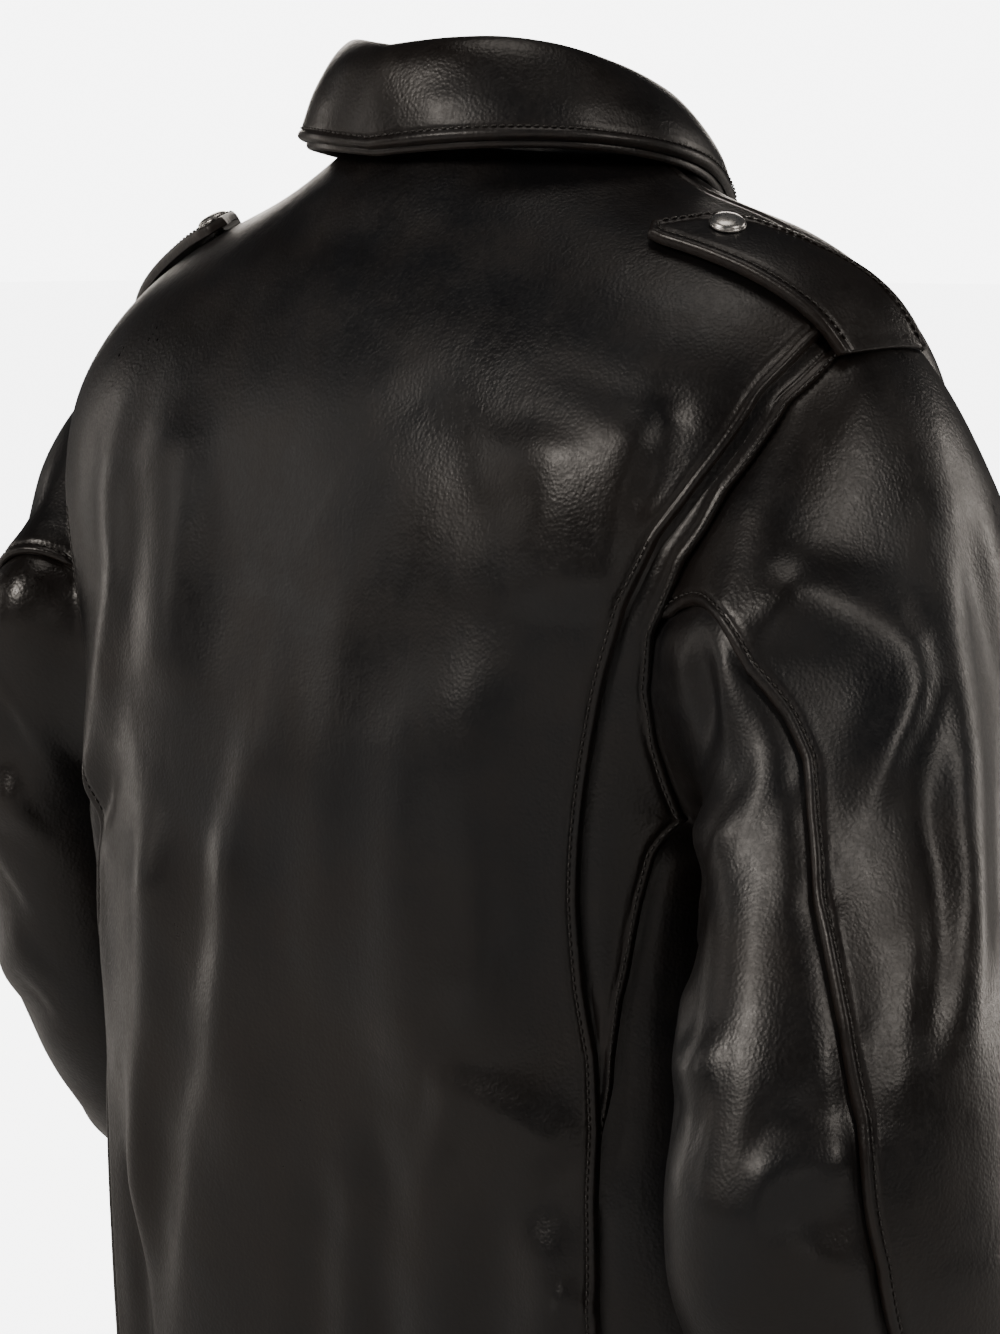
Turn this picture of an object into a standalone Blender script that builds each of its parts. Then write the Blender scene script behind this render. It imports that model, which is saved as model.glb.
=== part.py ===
"""Leather riding jacket: a double-breasted motorcycle jacket with a bi-swing back.

Units are metres, +Z is up, the wearer faces -Y and the wearer's right side is -X.
The hem lies on z = 0 in the design frame.  Every garment panel is a closed shell laid
on one of two surfaces: the body surface (angle ph round the body, t from neck to hem)
and the sleeve surface (angle ps round the arm, s from armhole to cuff).
"""
import math

import bpy
import numpy as np

for item in list(bpy.data.objects):
    bpy.data.objects.remove(item, do_unlink=True)

# ---------------------------------------------------------------- driving dimensions
LEATHER = 0.0024          # body leather with its backing
STRAP = 0.0030            # two layers of leather
LINING = 0.0010
LINING_INSET = 0.0085
SEAM_GAP = 0.00035        # half of the gap left between two sewn panels
SLEEVE_CLEAR = 0.0013     # half of the gap between torso and sleeve
PIVOT_Y, PIVOT_Z = 0.005, 0.470      # shoulder swing axis, parallel to X
NAPE = (0.0, 0.064, 0.630)           # foot of the hanger loop, the origin of the finished part
SNAP_D, SNAP_H = 0.0160, 0.0034
ZIP_HALF = 0.0080         # half of the front opening that holds the main zip
TAPE_W = 0.0074
BELT_Z0, BELT_Z1 = 0.016, 0.054
SLIDER = (0.0080, 0.0120, 0.0042)
PULL = (0.0058, 0.0260, 0.0012)
BUCKLE_W, BUCKLE_H, BUCKLE_ROD = 0.050, 0.056, 0.0022

# t, half width, back y, side y, front y, back z, side z, front z, back and front fullness
RINGS = np.array([
    [0.00, 0.076, 0.074, 0.000, -0.070, 0.622, 0.617, 0.552, 2.0, 2.0],
    [0.10, 0.112, 0.094, 0.000, -0.085, 0.597, 0.596, 0.523, 2.0, 2.0],
    [0.20, 0.158, 0.116, 0.000, -0.100, 0.562, 0.581, 0.500, 2.1, 2.0],
    [0.30, 0.206, 0.138, 0.000, -0.112, 0.518, 0.553, 0.466, 2.3, 2.1],
    [0.38, 0.228, 0.150, 0.000, -0.120, 0.476, 0.512, 0.435, 2.6, 2.2],
    [0.48, 0.218, 0.158, 0.002, -0.126, 0.420, 0.430, 0.395, 2.8, 2.3],
    [0.60, 0.194, 0.160, 0.004, -0.128, 0.330, 0.325, 0.320, 2.8, 2.3],
    [0.80, 0.202, 0.150, 0.004, -0.128, 0.165, 0.165, 0.165, 2.7, 2.3],
    [1.00, 0.208, 0.138, 0.002, -0.128, 0.000, 0.000, 0.000, 2.6, 2.3],
])

# s, outer line (|x|, y, z), inner line (|x|, y, z), depth behind, depth in front, pinch
ARM_RIGHT = np.array([
    [0.00, 0.2270, 0.002, 0.541, 0.198, 0.012, 0.318, 0.100, 0.090, 0.10],
    [0.10, 0.2450, 0.004, 0.498, 0.200, 0.016, 0.298, 0.114, 0.092, 0.22],
    [0.20, 0.2660, 0.012, 0.440, 0.202, 0.026, 0.278, 0.113, 0.092, 0.16],
    [0.32, 0.2940, 0.034, 0.362, 0.205, 0.046, 0.250, 0.106, 0.092, 0.06],
    [0.45, 0.3240, 0.070, 0.272, 0.210, 0.074, 0.205, 0.101, 0.090, 0.00],
    [0.57, 0.3400, 0.088, 0.190, 0.215, 0.088, 0.150, 0.098, 0.086, 0.00],
    [0.72, 0.3400, 0.056, 0.105, 0.218, 0.056, 0.080, 0.086, 0.076, 0.00],
    [0.88, 0.3320, -0.020, 0.030, 0.220, -0.018, 0.020, 0.068, 0.064, 0.00],
    [1.00, 0.3240, -0.080, -0.025, 0.222, -0.080, -0.030, 0.055, 0.053, 0.00],
])
FORWARD = np.array([0, 0.004, 0.012, 0.032, 0.080, 0.130, 0.160, 0.150, 0.135])
ARM_LEFT = ARM_RIGHT.copy()
ARM_LEFT[:, 2] -= FORWARD
ARM_LEFT[:, 5] -= FORWARD
ARM_LEFT[:, 7] -= np.array([0, 0.000, 0.004, 0.006, 0.008, 0.010, 0.010, 0.006, 0.0])
ARM_LEFT[:, 1] += np.array([0, 0.000, 0.004, 0.010, 0.000, -0.004, -0.010, -0.006, 0.0])

# surface of revolution about the swing axis that parts torso from sleeve
PART_RHO = [0.00, 0.03, 0.05, 0.068, 0.084, 0.104, 0.124, 0.145, 0.17, 0.22, 0.32, 0.47, 0.80]
PART_X = [0.205, 0.207, 0.213, 0.2210, 0.2210, 0.207, 0.196, 0.1915, 0.194, 0.202, 0.210, 0.2150, 0.222]


def spline(knots, values, x):
    """Natural cubic spline through values at knots, read at x."""
    k = np.asarray(knots, float)
    v = np.asarray(values, float)
    flat = v.reshape(len(k), -1)
    n = len(k)
    h = np.diff(k)
    a = np.zeros((n, n))
    b = np.zeros((n, flat.shape[1]))
    a[0, 0] = a[-1, -1] = 1.0
    for i in range(1, n - 1):
        a[i, i - 1], a[i, i], a[i, i + 1] = h[i - 1], 2 * (h[i - 1] + h[i]), h[i]
        b[i] = 6 * ((flat[i + 1] - flat[i]) / h[i] - (flat[i] - flat[i - 1]) / h[i - 1])
    m = np.linalg.solve(a, b)
    x = np.asarray(x, float)
    q = np.clip(x.ravel(), k[0], k[-1])
    i = np.clip(np.searchsorted(k, q, side="right") - 1, 0, n - 2)
    u = (k[i + 1] - q)[:, None]
    w = (q - k[i])[:, None]
    hi = h[i][:, None]
    r = (m[i] * u**3 + m[i + 1] * w**3) / (6 * hi)
    r += (flat[i] / hi - m[i] * hi / 6) * u + (flat[i + 1] / hi - m[i + 1] * hi / 6) * w
    return r.reshape(x.shape + v.shape[1:])


def body(ph, t):
    """Body surface. ph in degrees: 0 centre back, +90 wearer's right side, 180 front."""
    ph, t = np.broadcast_arrays(np.asarray(ph, float), np.asarray(t, float))
    r = spline(RINGS[:, 0], RINGS[:, 1:], t)
    a, yb, yc, yf, zb, zs, zf, nb, nf = np.moveaxis(r, -1, 0)
    c, s = np.cos(np.radians(ph)), np.sin(np.radians(ph))
    n = np.where(c >= 0, nb, nf)
    rho = (np.abs(s) ** n + np.abs(c) ** n) ** (-1.0 / n)
    x = -a * s * rho
    y = yc + np.where(c >= 0, yb - yc, yc - yf) * c * rho
    z = zs + (np.where(c >= 0, zb, zf) - zs) * c * c
    return np.stack([x, y, z], -1)


def arm(side):
    """Sleeve surface of one side. ps in degrees: 0 outer, 90 back, 180 inner, 270 front."""
    tab = ARM_RIGHT if side < 0 else ARM_LEFT

    def surface(ps, s):
        ps, s = np.broadcast_arrays(np.asarray(ps, float), np.asarray(s, float))
        r = spline(tab[:, 0], tab[:, 1:], s)
        top, low, vb, vf, pinch = r[..., 0:3], r[..., 3:6], r[..., 6], r[..., 7], r[..., 8]
        mid, u = (top + low) / 2, (top - low) / 2
        c, sn = np.cos(np.radians(ps)), np.sin(np.radians(ps))
        p = mid + c[..., None] * u
        p = p + 0.0
        p[..., 1] += np.where(sn > 0, vb, vf) * sn * (1 - pinch * np.maximum(c, 0) ** 2)
        p[..., 0] *= side
        return p

    return surface


def collar(ph, u):
    """Collar surface: u 0 at the neck seam, about 0.42 at the roll, 1 at the outer edge."""
    ph, u = np.broadcast_arrays(np.asarray(ph, float), np.asarray(u, float))
    k = [0.0, 45.0, 90.0, 130.0, 160.0]
    r = spline(k, [
        [0.0760, 0.628, 0.0815, 0.661, 0.0965, 0.615],
        [0.0770, 0.624, 0.0745, 0.664, 0.1005, 0.620],
        [0.0780, 0.621, 0.0765, 0.648, 0.1010, 0.613],
        [0.0780, 0.595, 0.0805, 0.622, 0.1000, 0.590],
        [0.0790, 0.564, 0.0840, 0.592, 0.1040, 0.556],
    ], np.abs(ph))
    rn, zn, rr, zr, ro, zo = np.moveaxis(r, -1, 0)
    pr = np.stack([rn, rn + 0.6 * (rr - rn) - 0.001, rr, rr + 0.0065, (rr + ro) / 2 + 0.0045, ro], -1)
    pz = np.stack([zn, zn + 0.6 * (zr - zn), zr, zr - 0.0045, (zr + zo) / 2 - 0.002, zo], -1)
    ks = np.array([0.0, 0.26, 0.42, 0.52, 0.76, 1.0])
    out_r = np.zeros(u.shape)
    out_z = np.zeros(u.shape)
    for i in range(len(ks)):
        unit = np.zeros(len(ks))
        unit[i] = 1.0
        w = spline(ks, unit, u)
        out_r = out_r + w * pr[..., i]
        out_z = out_z + w * pz[..., i]
    a = np.radians(ph)
    return np.stack([-np.sin(a) * out_r, 0.004 + np.cos(a) * out_r, out_z], -1)


def split_x(p):
    return np.interp(np.hypot(p[..., 1] - PIVOT_Y, p[..., 2] - PIVOT_Z), PART_RHO, PART_X)


def keep_inside(p):
    f = split_x(p) - SLEEVE_CLEAR
    p = p.copy()
    p[..., 0] = np.clip(p[..., 0], -f, f)
    return p


def keep_outside(side):
    def fix(p):
        p = p.copy()
        p[..., 0] = side * np.maximum(side * p[..., 0], split_x(p) + SLEEVE_CLEAR)
        return p
    return fix


def normals(surface, u, v, eu=0.5, ev=0.004, flip=False):
    du = surface(u + eu, v) - surface(u - eu, v)
    lo, hi = np.clip(v - ev, 0, 1), np.clip(v + ev, 0, 1)
    dv = surface(u, hi) - surface(u, lo)
    n = np.cross(dv, du)
    n /= np.maximum(np.linalg.norm(n, axis=-1, keepdims=True), 1e-12)
    return -n if flip else n


# ---------------------------------------------------------------- scene helpers
OBJECT = bpy.data.collections.new("Leather riding jacket")
bpy.context.scene.collection.children.link(OBJECT)
MATERIALS = {}


def material(name, colour, rough, metal):
    if name not in MATERIALS:
        m = bpy.data.materials.new(name)
        m.use_nodes = True
        b = m.node_tree.nodes["Principled BSDF"]
        b.inputs["Base Color"].default_value = (*colour, 1.0)
        b.inputs["Roughness"].default_value = rough
        b.inputs["Metallic"].default_value = metal
        m.diffuse_color = (*colour, 1.0)
        m.roughness, m.metallic = rough, metal
        MATERIALS[name] = m
    return MATERIALS[name]


LOOKS = {
    "leather": ((0.022, 0.019, 0.018), 0.36, 0.0),
    "facing": ((0.026, 0.022, 0.020), 0.45, 0.0),
    "lining": ((0.045, 0.035, 0.032), 0.70, 0.0),
    "tape": ((0.016, 0.016, 0.017), 0.80, 0.0),
    "nickel": ((0.72, 0.71, 0.69), 0.22, 1.0),
}


def add(name, verts, faces, look):
    mesh = bpy.data.meshes.new(name)
    mesh.from_pydata([tuple(map(float, v)) for v in verts], [], faces)
    mesh.validate()
    mesh.update()
    obj = bpy.data.objects.new(name, mesh)
    OBJECT.objects.link(obj)
    colour, rough, metal = LOOKS[look]
    mesh.materials.append(material(name + "_" + look, colour, rough, metal))
    return obj


def shell_from(name, outer, inner, look, closed=False):
    """Closed shell between two grids of the same shape; closed joins the first index."""
    nu, nv = outer.shape[:2]
    verts = np.concatenate([outer.reshape(-1, 3), inner.reshape(-1, 3)])
    off = nu * nv

    def o(i, j):
        return (i % nu) * nv + j

    def q(i, j):
        return off + (i % nu) * nv + j

    faces = []
    for i in range(nu if closed else nu - 1):
        for j in range(nv - 1):
            faces.append((o(i, j), o(i, j + 1), o(i + 1, j + 1), o(i + 1, j)))
            faces.append((q(i, j), q(i + 1, j), q(i + 1, j + 1), q(i, j + 1)))
    for i in range(nu if closed else nu - 1):
        faces.append((o(i, 0), o(i + 1, 0), q(i + 1, 0), q(i, 0)))
        faces.append((o(i + 1, nv - 1), o(i, nv - 1), q(i, nv - 1), q(i + 1, nv - 1)))
    if not closed:
        for j in range(nv - 1):
            faces.append((o(0, j + 1), o(0, j), q(0, j), q(0, j + 1)))
            faces.append((o(nu - 1, j), o(nu - 1, j + 1), q(nu - 1, j + 1), q(nu - 1, j)))
    # signed volume decides which way the faces run
    tri = verts[[[f[0], f[k], f[k + 1]] for f in faces for k in (1, 2)]]
    if np.einsum("ij,ij->i", tri[:, 0], np.cross(tri[:, 1], tri[:, 2])).sum() < 0:
        faces = [tuple(reversed(f)) for f in faces]
    return add(name, verts, faces, look)


def panel(name, surface, lo, hi, ts, nu, look, lift=0.0, thick=LEATHER, fix=None, flip=False, closed=False, flat_ends=()):
    ts = np.asarray(ts, float)
    a, b = np.asarray(lo(ts), float), np.asarray(hi(ts), float)
    k = np.arange(nu) / nu if closed else np.linspace(0, 1, nu + 1)
    u = a[None, :] + (b - a)[None, :] * k[:, None]
    v = np.broadcast_to(ts[None, :], u.shape)
    p = surface(u, v)
    n = normals(surface, u, v, flip=flip)
    outer, inner = p + n * lift, p + n * (lift - thick)
    for j, z in flat_ends:
        outer[:, j, 2] = z
        inner[:, j, 2] = z
    if fix:
        outer, inner = fix(outer), fix(inner)
        gap = np.linalg.norm(outer - inner, axis=-1)
        thin = gap < 0.6 * thick
        if thin.any():
            # clamping met both faces: push the inner one back along the sleeve axis plane
            away = np.sign(p[..., 1:2] - PIVOT_Y)
            shift = np.concatenate([np.zeros_like(away), -away * thick * 0.7, np.full_like(away, -0.0)], -1)
            inner = np.where(thin[..., None], inner + shift, inner)
            inner = fix(inner)
    return shell_from(name, outer, inner, look, closed)


def const(v):
    return lambda t: np.full(np.shape(t), float(v))


def line(ts, vs):
    return lambda t: np.interp(t, ts, vs)


# ---------------------------------------------------------------- seam lines
# edge of the back panel: shoulder seam, then the pleat, then the side seam
T_SHOULDER = 0.330
PLEAT_T = [0.300, 0.326, 0.338, 0.368, 0.414, 0.446, 0.484, 0.524, 0.586, 0.639, 0.687, 0.724, 0.762, 0.800, 0.870, 1.000]
PLEAT_P = [90.0, 90.0, 69.0, 61.7, 53.9, 49.3, 46.9, 46.1, 45.9, 45.7, 46.1, 46.9, 46.3, 44.9, 43.8, 43.0]
GUSSET_T = [0.594, 0.614, 0.639, 0.692, 0.739, 0.750]
GUSSET_P = [58.0, 55.4, 53.2, 49.0, 47.6, 47.4]
back_edge = line(PLEAT_T, PLEAT_P)
gusset_low = line(GUSSET_T, GUSSET_P)
ARM_TOP_T, ARM_LOW_T = 0.338, 0.612


def armhole(ts, front):
    """Angle at which the body meets the parting surface, on the back or front side."""
    grid = np.linspace(44, 90, 240) if not front else np.linspace(140, 90, 240)
    u, v = np.meshgrid(grid, np.atleast_1d(ts), indexing="ij")
    p = body(u, v)
    over = np.abs(p[..., 0]) >= split_x(p) - SLEEVE_CLEAR
    first = np.where(over.any(0), over.argmax(0), len(grid) - 1)
    return grid[first].reshape(np.shape(ts))


def gusset_outer(ts):
    return np.where(ts < 0.594, np.maximum(armhole(ts, False), back_edge(ts) + 2.0), gusset_low(ts))


def front_outer(ts):
    ts = np.asarray(ts, float)
    hole = armhole(ts, True)
    low = np.where(ts < 0.745, gusset_low(ts), back_edge(ts))
    blend = np.clip((ts - 0.594) / (0.622 - 0.594), 0, 1)
    side = hole * (1 - blend) + low * blend
    return np.where(ts <= ARM_TOP_T - 0.008, 90.0, np.where(ts <= 0.594, hole, side))


ZIP_T = [0.48, 0.60, 0.80, 1.00]
ZIP_P = [165.4, 168.5, 173.5, 177.3]
zip_line = line(ZIP_T, ZIP_P)
ZIP_TOP = 0.480


def zip_gap(ts):
    return np.degrees(ZIP_HALF / 0.215) * np.ones(np.shape(ts))


def right_inner(ts):
    return np.where(ts >= ZIP_TOP, zip_line(ts) - zip_gap(ts), np.interp(ts, [0, 0.24, ZIP_TOP], [128.0, 147.0, 163.2]))


def left_inner(ts):
    return np.where(ts >= ZIP_TOP, zip_line(ts) + zip_gap(ts), np.interp(ts, [0, 0.24, ZIP_TOP], [232.0, 213.0, 197.0 - 29.4])) 


# ---------------------------------------------------------------- torso
DEG = np.degrees(SEAM_GAP / 0.2)
ROWS = [0.0, 0.05, 0.11, 0.17, 0.24, 0.30, 0.326, 0.346, 0.37, 0.40, 0.44, 0.48, 0.53, 0.58, 0.594, 0.610, 0.628, 0.66, 0.70, 0.735, 0.75, 0.80, 0.86, 0.93, 1.0]
panel("back_panel", body, lambda t: -back_edge(t) + DEG, lambda t: back_edge(t) - DEG, ROWS, 12, "leather", fix=keep_inside, flat_ends=[(-1, 0.0)])

rows_g = [t for t in ROWS if 0.34 < t < 0.74]
for side, tag in ((1, "right"), (-1, "left")):
    g_lo = (lambda s: lambda t: s * (back_edge(t) + DEG))(side)
    g_hi = (lambda s: lambda t: s * (gusset_outer(t) - DEG))(side)
    panel("gusset_" + tag, body, g_lo, g_hi, rows_g, 4, "leather", lift=-0.0004, fix=keep_inside, flip=False)

panel("front_panel_right", body, lambda t: front_outer(t) + DEG, lambda t: right_inner(t) - DEG, ROWS, 10, "leather", fix=keep_inside, flat_ends=[(-1, 0.0)])
panel("front_panel_left", body, lambda t: left_inner(t) + DEG, lambda t: 360.0 - front_outer(t) - DEG, ROWS, 12, "leather", fix=keep_inside, flat_ends=[(-1, 0.0)])

rows_l = [0.03, 0.10, 0.18, 0.26, 0.34, 0.42, 0.50, 0.60, 0.72, 0.84, 0.96]
panel("lining_back", body, const(-41), const(41), rows_l, 8, "lining", lift=-LINING_INSET, thick=LINING)
panel("lining_front_right", body, const(118), lambda t: right_inner(t) - 3, rows_l, 4, "lining", lift=-LINING_INSET, thick=LINING)
panel("lining_front_left", body, lambda t: left_inner(t) + 3, const(242), rows_l, 4, "lining", lift=-LINING_INSET, thick=LINING)

# ---------------------------------------------------------------- collar, lapels, hanger
cu_stand = [0.0, 0.12, 0.22, 0.318]
cu_fall = [0.390, 0.42, 0.46, 0.52, 0.62, 0.76, 0.88, 1.0]
panel("collar_stand", collar, const(-150), const(150), cu_stand, 20, "leather", thick=0.0022, flip=False)
panel("collar_fall", collar, const(-153), const(153), cu_fall, 22, "leather", thick=0.0032, flip=False)


def lapel_grid(side, nu, nv):
    """Lapel laid on the chest: from the fold line (u 0) out to its free edge (u 1)."""
    v = np.linspace(0, 1, nv + 1)
    fold_t = 0.04 + v * 0.415
    inner = (right_inner(fold_t) if side > 0 else 360 - left_inner(fold_t)) - 0.6
    edge_t = np.interp(v, [0, 0.18, 0.5, 1], [0.115, 0.197, 0.30, 0.475])
    edge_p = np.interp(v, [0, 0.18, 0.5, 1], [120.0, 115.0, 129.0, 160.0])
    u = np.linspace(0, 1, nu + 1)[:, None]
    ph = inner[None, :] * (1 - u) + edge_p[None, :] * u
    t = fold_t[None, :] * (1 - u) + edge_t[None, :] * u
    lift = 0.0052 + 0.004 * np.sin(np.pi * np.clip(u * 1.2, 0, 1)) * np.ones_like(ph)
    p = body(side * ph, t)
    n = normals(body, side * ph, t)
    return p + n * lift[..., None], p + n * (lift - 0.0032)[..., None]


for side, tag in ((1, "right"), (-1, "left")):
    o, i = lapel_grid(side, 5, 9)
    shell_from("lapel_" + tag, o, i, "leather")

xs = np.linspace(-0.030, 0.030, 9)
sag = 0.010 * (1 - (xs / 0.030) ** 2)
o = np.stack([np.stack([xs, np.full(9, 0.0640), 0.640 - sag], -1), np.stack([xs, np.full(9, 0.0640), 0.634 - sag], -1)], 1)
i = o.copy()
i[..., 1] -= 0.0016
shell_from("hanger_loop", o, i, "leather")


# ---------------------------------------------------------------- hardware helpers
def frame_on(surface, u, v, u2, v2, lift=0.0, flip=False):
    """Origin lifted off the surface, x across, y along the line to the second point, z out."""
    p = surface(u, v)
    n = normals(surface, np.asarray(u, float), np.asarray(v, float), flip=flip)
    y = surface(u2, v2) - p
    y = y - n * (y @ n)
    y /= np.linalg.norm(y)
    x = np.cross(y, n)
    return p + n * lift, np.stack([x, y, n], 1)


def bevelled_box(name, size, look, origin, axes, local=(0, 0, 0), bevel=0.0006, parent=None):
    sx, sy, sz = (d / 2 for d in size)
    lx, ly, lz = local
    v = [(lx + a * sx, ly + b * sy, lz + c * sz) for a in (-1, 1) for b in (-1, 1) for c in (-1, 1)]
    f = [(0, 1, 3, 2), (4, 6, 7, 5), (0, 4, 5, 1), (2, 3, 7, 6), (0, 2, 6, 4), (1, 5, 7, 3)]
    obj = add(name, v, f, look)
    if bevel:
        m = obj.modifiers.new("Bevel", "BEVEL")
        m.width, m.segments, m.limit_method = bevel, 1, "NONE"
    place(obj, origin, axes)
    return obj


def place(obj, origin, axes):
    from mathutils import Matrix
    m = Matrix([[float(axes[r][c]) for c in range(3)] + [float(origin[r])] for r in range(3)] + [[0, 0, 0, 1]])
    obj.matrix_world = m


def turned(name, profile, look, origin, axes, seg=16):
    """Body of revolution about local z from (radius, height) points; ends close on the axis."""
    verts, rings = [], []
    for r, z in profile:
        if r < 1e-9:
            rings.append([len(verts)])
            verts.append((0, 0, z))
        else:
            rings.append(list(range(len(verts), len(verts) + seg)))
            verts += [(r * math.cos(2 * math.pi * k / seg), r * math.sin(2 * math.pi * k / seg), z) for k in range(seg)]
    faces = []
    for a, b in zip(rings, rings[1:]):
        for k in range(seg):
            k2 = (k + 1) % seg
            if len(a) == 1:
                faces.append((a[0], b[k2], b[k]))
            elif len(b) == 1:
                faces.append((a[k], a[k2], b[0]))
            else:
                faces.append((a[k], a[k2], b[k2], b[k]))
    vv = np.array(verts)
    vol = 0.0
    for f in faces:
        for k in range(1, len(f) - 1):
            vol += vv[f[0]] @ np.cross(vv[f[k]], vv[f[k + 1]])
    if vol < 0:
        faces = [tuple(reversed(f)) for f in faces]
    obj = add(name, verts, faces, look)
    place(obj, origin, axes)
    return obj


def cap(name, origin, axes, d=SNAP_D, h=SNAP_H):
    r = d / 2
    turned(name, [(0, 0), (r * 0.96, 0), (r, 0.0006), (r * 0.9, h * 0.55), (r * 0.6, h * 0.88), (0, h)], "nickel", origin, axes)


# ---------------------------------------------------------------- epaulettes
STRAP_T0, STRAP_T1 = 0.190, 0.3300


def strap_surface(side):
    def f(u, v):
        """u across -1 front to 1 back, v 0 tip to 1 armhole."""
        t = STRAP_T0 + (STRAP_T1 - STRAP_T0) * v
        half = np.interp(v, [0, 0.12, 0.20, 1.0], [0.0085, 0.0190, 0.0210, 0.0265])
        yb = spline(RINGS[:, 0], RINGS[:, 2], t)
        y = 0.050 - 0.034 * v + u * half
        ph = 90 - np.degrees(np.arcsin(np.clip(y / yb, -0.9, 0.9)))
        return body(side * ph, t), normals(body, side * ph, t)
    return f


STRAP_LIFT = 0.0075
for side, tag in ((1, "right"), (-1, "left")):
    vv = np.array([0, 0.05, 0.10, 0.18, 0.32, 0.46, 0.60, 0.74, 0.88, 1.0])
    uu = np.linspace(-1, 1, 5)
    U, V = np.meshgrid(uu, vv, indexing="ij")
    p, n = strap_surface(side)(U, V)
    top, low = p + n * STRAP_LIFT, p + n * (STRAP_LIFT - STRAP)
    xend = 0.2165
    for g in (top, low):
        g[..., 0] = np.clip(g[..., 0], -xend, xend)
    hinge = (low[2, -1] * 0.5 + low[2, -1] * 0.5)
    obj = shell_from("epaulette_" + tag, top - hinge, low - hinge, "leather")
    place(obj, hinge, np.eye(3))
    # snap near the tip
    pc, nc = strap_surface(side)(np.array(-0.15), np.array(0.20))
    y_ax = np.array([0.0, 1.0, 0.0]) - nc * nc[1]
    y_ax /= np.linalg.norm(y_ax)
    ax = np.stack([np.cross(y_ax, nc), y_ax, nc], 1)
    cap("epaulette_snap_" + tag, pc + nc * (STRAP_LIFT + 0.0004), ax)
    turned("epaulette_stud_" + tag, [(0, 0), (0.0055, 0), (0.0055, 0.0012), (0.0028, 0.0016), (0.0028, 0.0034), (0, 0.0034)], "nickel", pc + nc * 0.0004, ax, seg=14)

# ---------------------------------------------------------------- sleeves
BACK_SEAM_S = [0.00, 0.093, 0.175, 0.238, 0.278, 0.316, 0.373, 0.439, 0.514, 0.607, 1.0]
BACK_SEAM_P = [88.0, 80.0, 70.4, 59.5, 54.5, 54.0, 51.8, 44.5, 36.0, 34.0, 50.0]
back_seam = line(BACK_SEAM_S, BACK_SEAM_P)
front_seam = line([0, 0.3, 1], [-62.0, -62.0, -70.0])
rows_s = [0.0, 0.05, 0.10, 0.16, 0.22, 0.29, 0.37, 0.46, 0.55, 0.64, 0.73, 0.82, 0.91, 1.0]
SD = np.degrees(0.0006 / 0.085)
for side, tag in ((-1, "right"), (1, "left")):
    surf = arm(side)
    fl = side < 0
    out = keep_outside(side)
    panel("upper_sleeve_" + tag, surf, lambda s: front_seam(s) + 2 * SD, lambda s: back_seam(s) - SD, rows_s, 12, "leather", fix=out, flip=fl)
    panel("under_sleeve_" + tag, surf, lambda s: back_seam(s) + SD, lambda s: front_seam(s) + 360 - 2 * SD, rows_s, 14, "leather", fix=out, flip=fl)
    panel("sleeve_lining_" + tag, surf, const(0), const(360), [0.13, 0.22, 0.33, 0.45, 0.57, 0.70, 0.83, 0.97], 18, "lining", lift=-LINING_INSET, thick=LINING, flip=fl, closed=True)


# ---------------------------------------------------------------- zips
def strip(name, surface, a, b, half, look, lift, thick, n_rows=8, flip=False, fix=None):
    """Flat strip of the given half width from (u, v) a to (u, v) b on a surface."""
    k = np.linspace(0, 1, n_rows)
    u = a[0] + (b[0] - a[0]) * k
    v = a[1] + (b[1] - a[1]) * k
    c = surface(u, v)
    n = normals(surface, u, v, flip=flip)
    d = np.gradient(c, axis=0)
    w = np.cross(d, n)
    w /= np.linalg.norm(w, axis=-1, keepdims=True)
    o = np.stack([c + w * half + n * lift, c + n * (lift + 0.0005), c - w * half + n * lift], 0)
    i = np.stack([c + w * half + n * (lift - thick), c + n * (lift - thick), c - w * half + n * (lift - thick)], 0)
    return shell_from(name, o, i, look)


def slider_and_pull(tag, surface, at, toward, lift, flip=False):
    """Slider riding a zip, and the pull hinged on it; the pull hangs toward the second point."""
    o, ax = frame_on(surface, at[0], at[1], toward[0], toward[1], lift, flip)
    bevelled_box(tag + "_slider", SLIDER, "nickel", o, ax, local=(0, 0, SLIDER[2] / 2))
    hinge = o + ax[:, 2] * (SLIDER[2] + 0.0012) + ax[:, 1] * (-0.003)
    bevelled_box(tag + "_pull", PULL, "nickel", hinge, ax, local=(0, PULL[1] / 2 - 0.001, 0), bevel=0.0003)


# main zip: two tapes with their teeth, one on each front edge
rows_z = [0.484, 0.53, 0.58, 0.64, 0.70, 0.76, 0.82, 0.88, 0.94, 0.992]
tape = np.degrees(TAPE_W / 0.215)
zg = np.degrees(0.00022 / 0.215)
panel("main_zip_right", body, lambda t: zip_line(t) - tape, lambda t: zip_line(t) - zg, rows_z, 2, "nickel", lift=0.0006, thick=0.0026)
panel("main_zip_left", body, lambda t: zip_line(t) + zg, lambda t: zip_line(t) + tape, rows_z, 2, "nickel", lift=0.0006, thick=0.0026)
slider_and_pull("main_zip", body, (float(zip_line(0.515)), 0.515), (float(zip_line(0.60)), 0.60), 0.0012)

# hand pockets: slanted zips with leather welts beneath the zip strip
for side, tag in ((1, "right"), (-1, "left")):
    a, b = (side * 128.0, 0.700), (side * 141.0, 0.865)
    strip("pocket_zip_" + tag, body, a, b, 0.0070, "nickel", 0.0024, 0.0018)
    at = (a[0] + (b[0] - a[0]) * 0.14, a[1] + (b[1] - a[1]) * 0.14)
    slider_and_pull("pocket_" + tag, body, at, b, 0.0036)
    p0, p1 = sorted((side * 121.0, side * 149.0))
    panel("pocket_bag_" + tag, body, const(p0), const(p1), [0.70, 0.75, 0.80, 0.86, 0.92], 5, "lining", lift=-0.0046, thick=0.0012)

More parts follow.
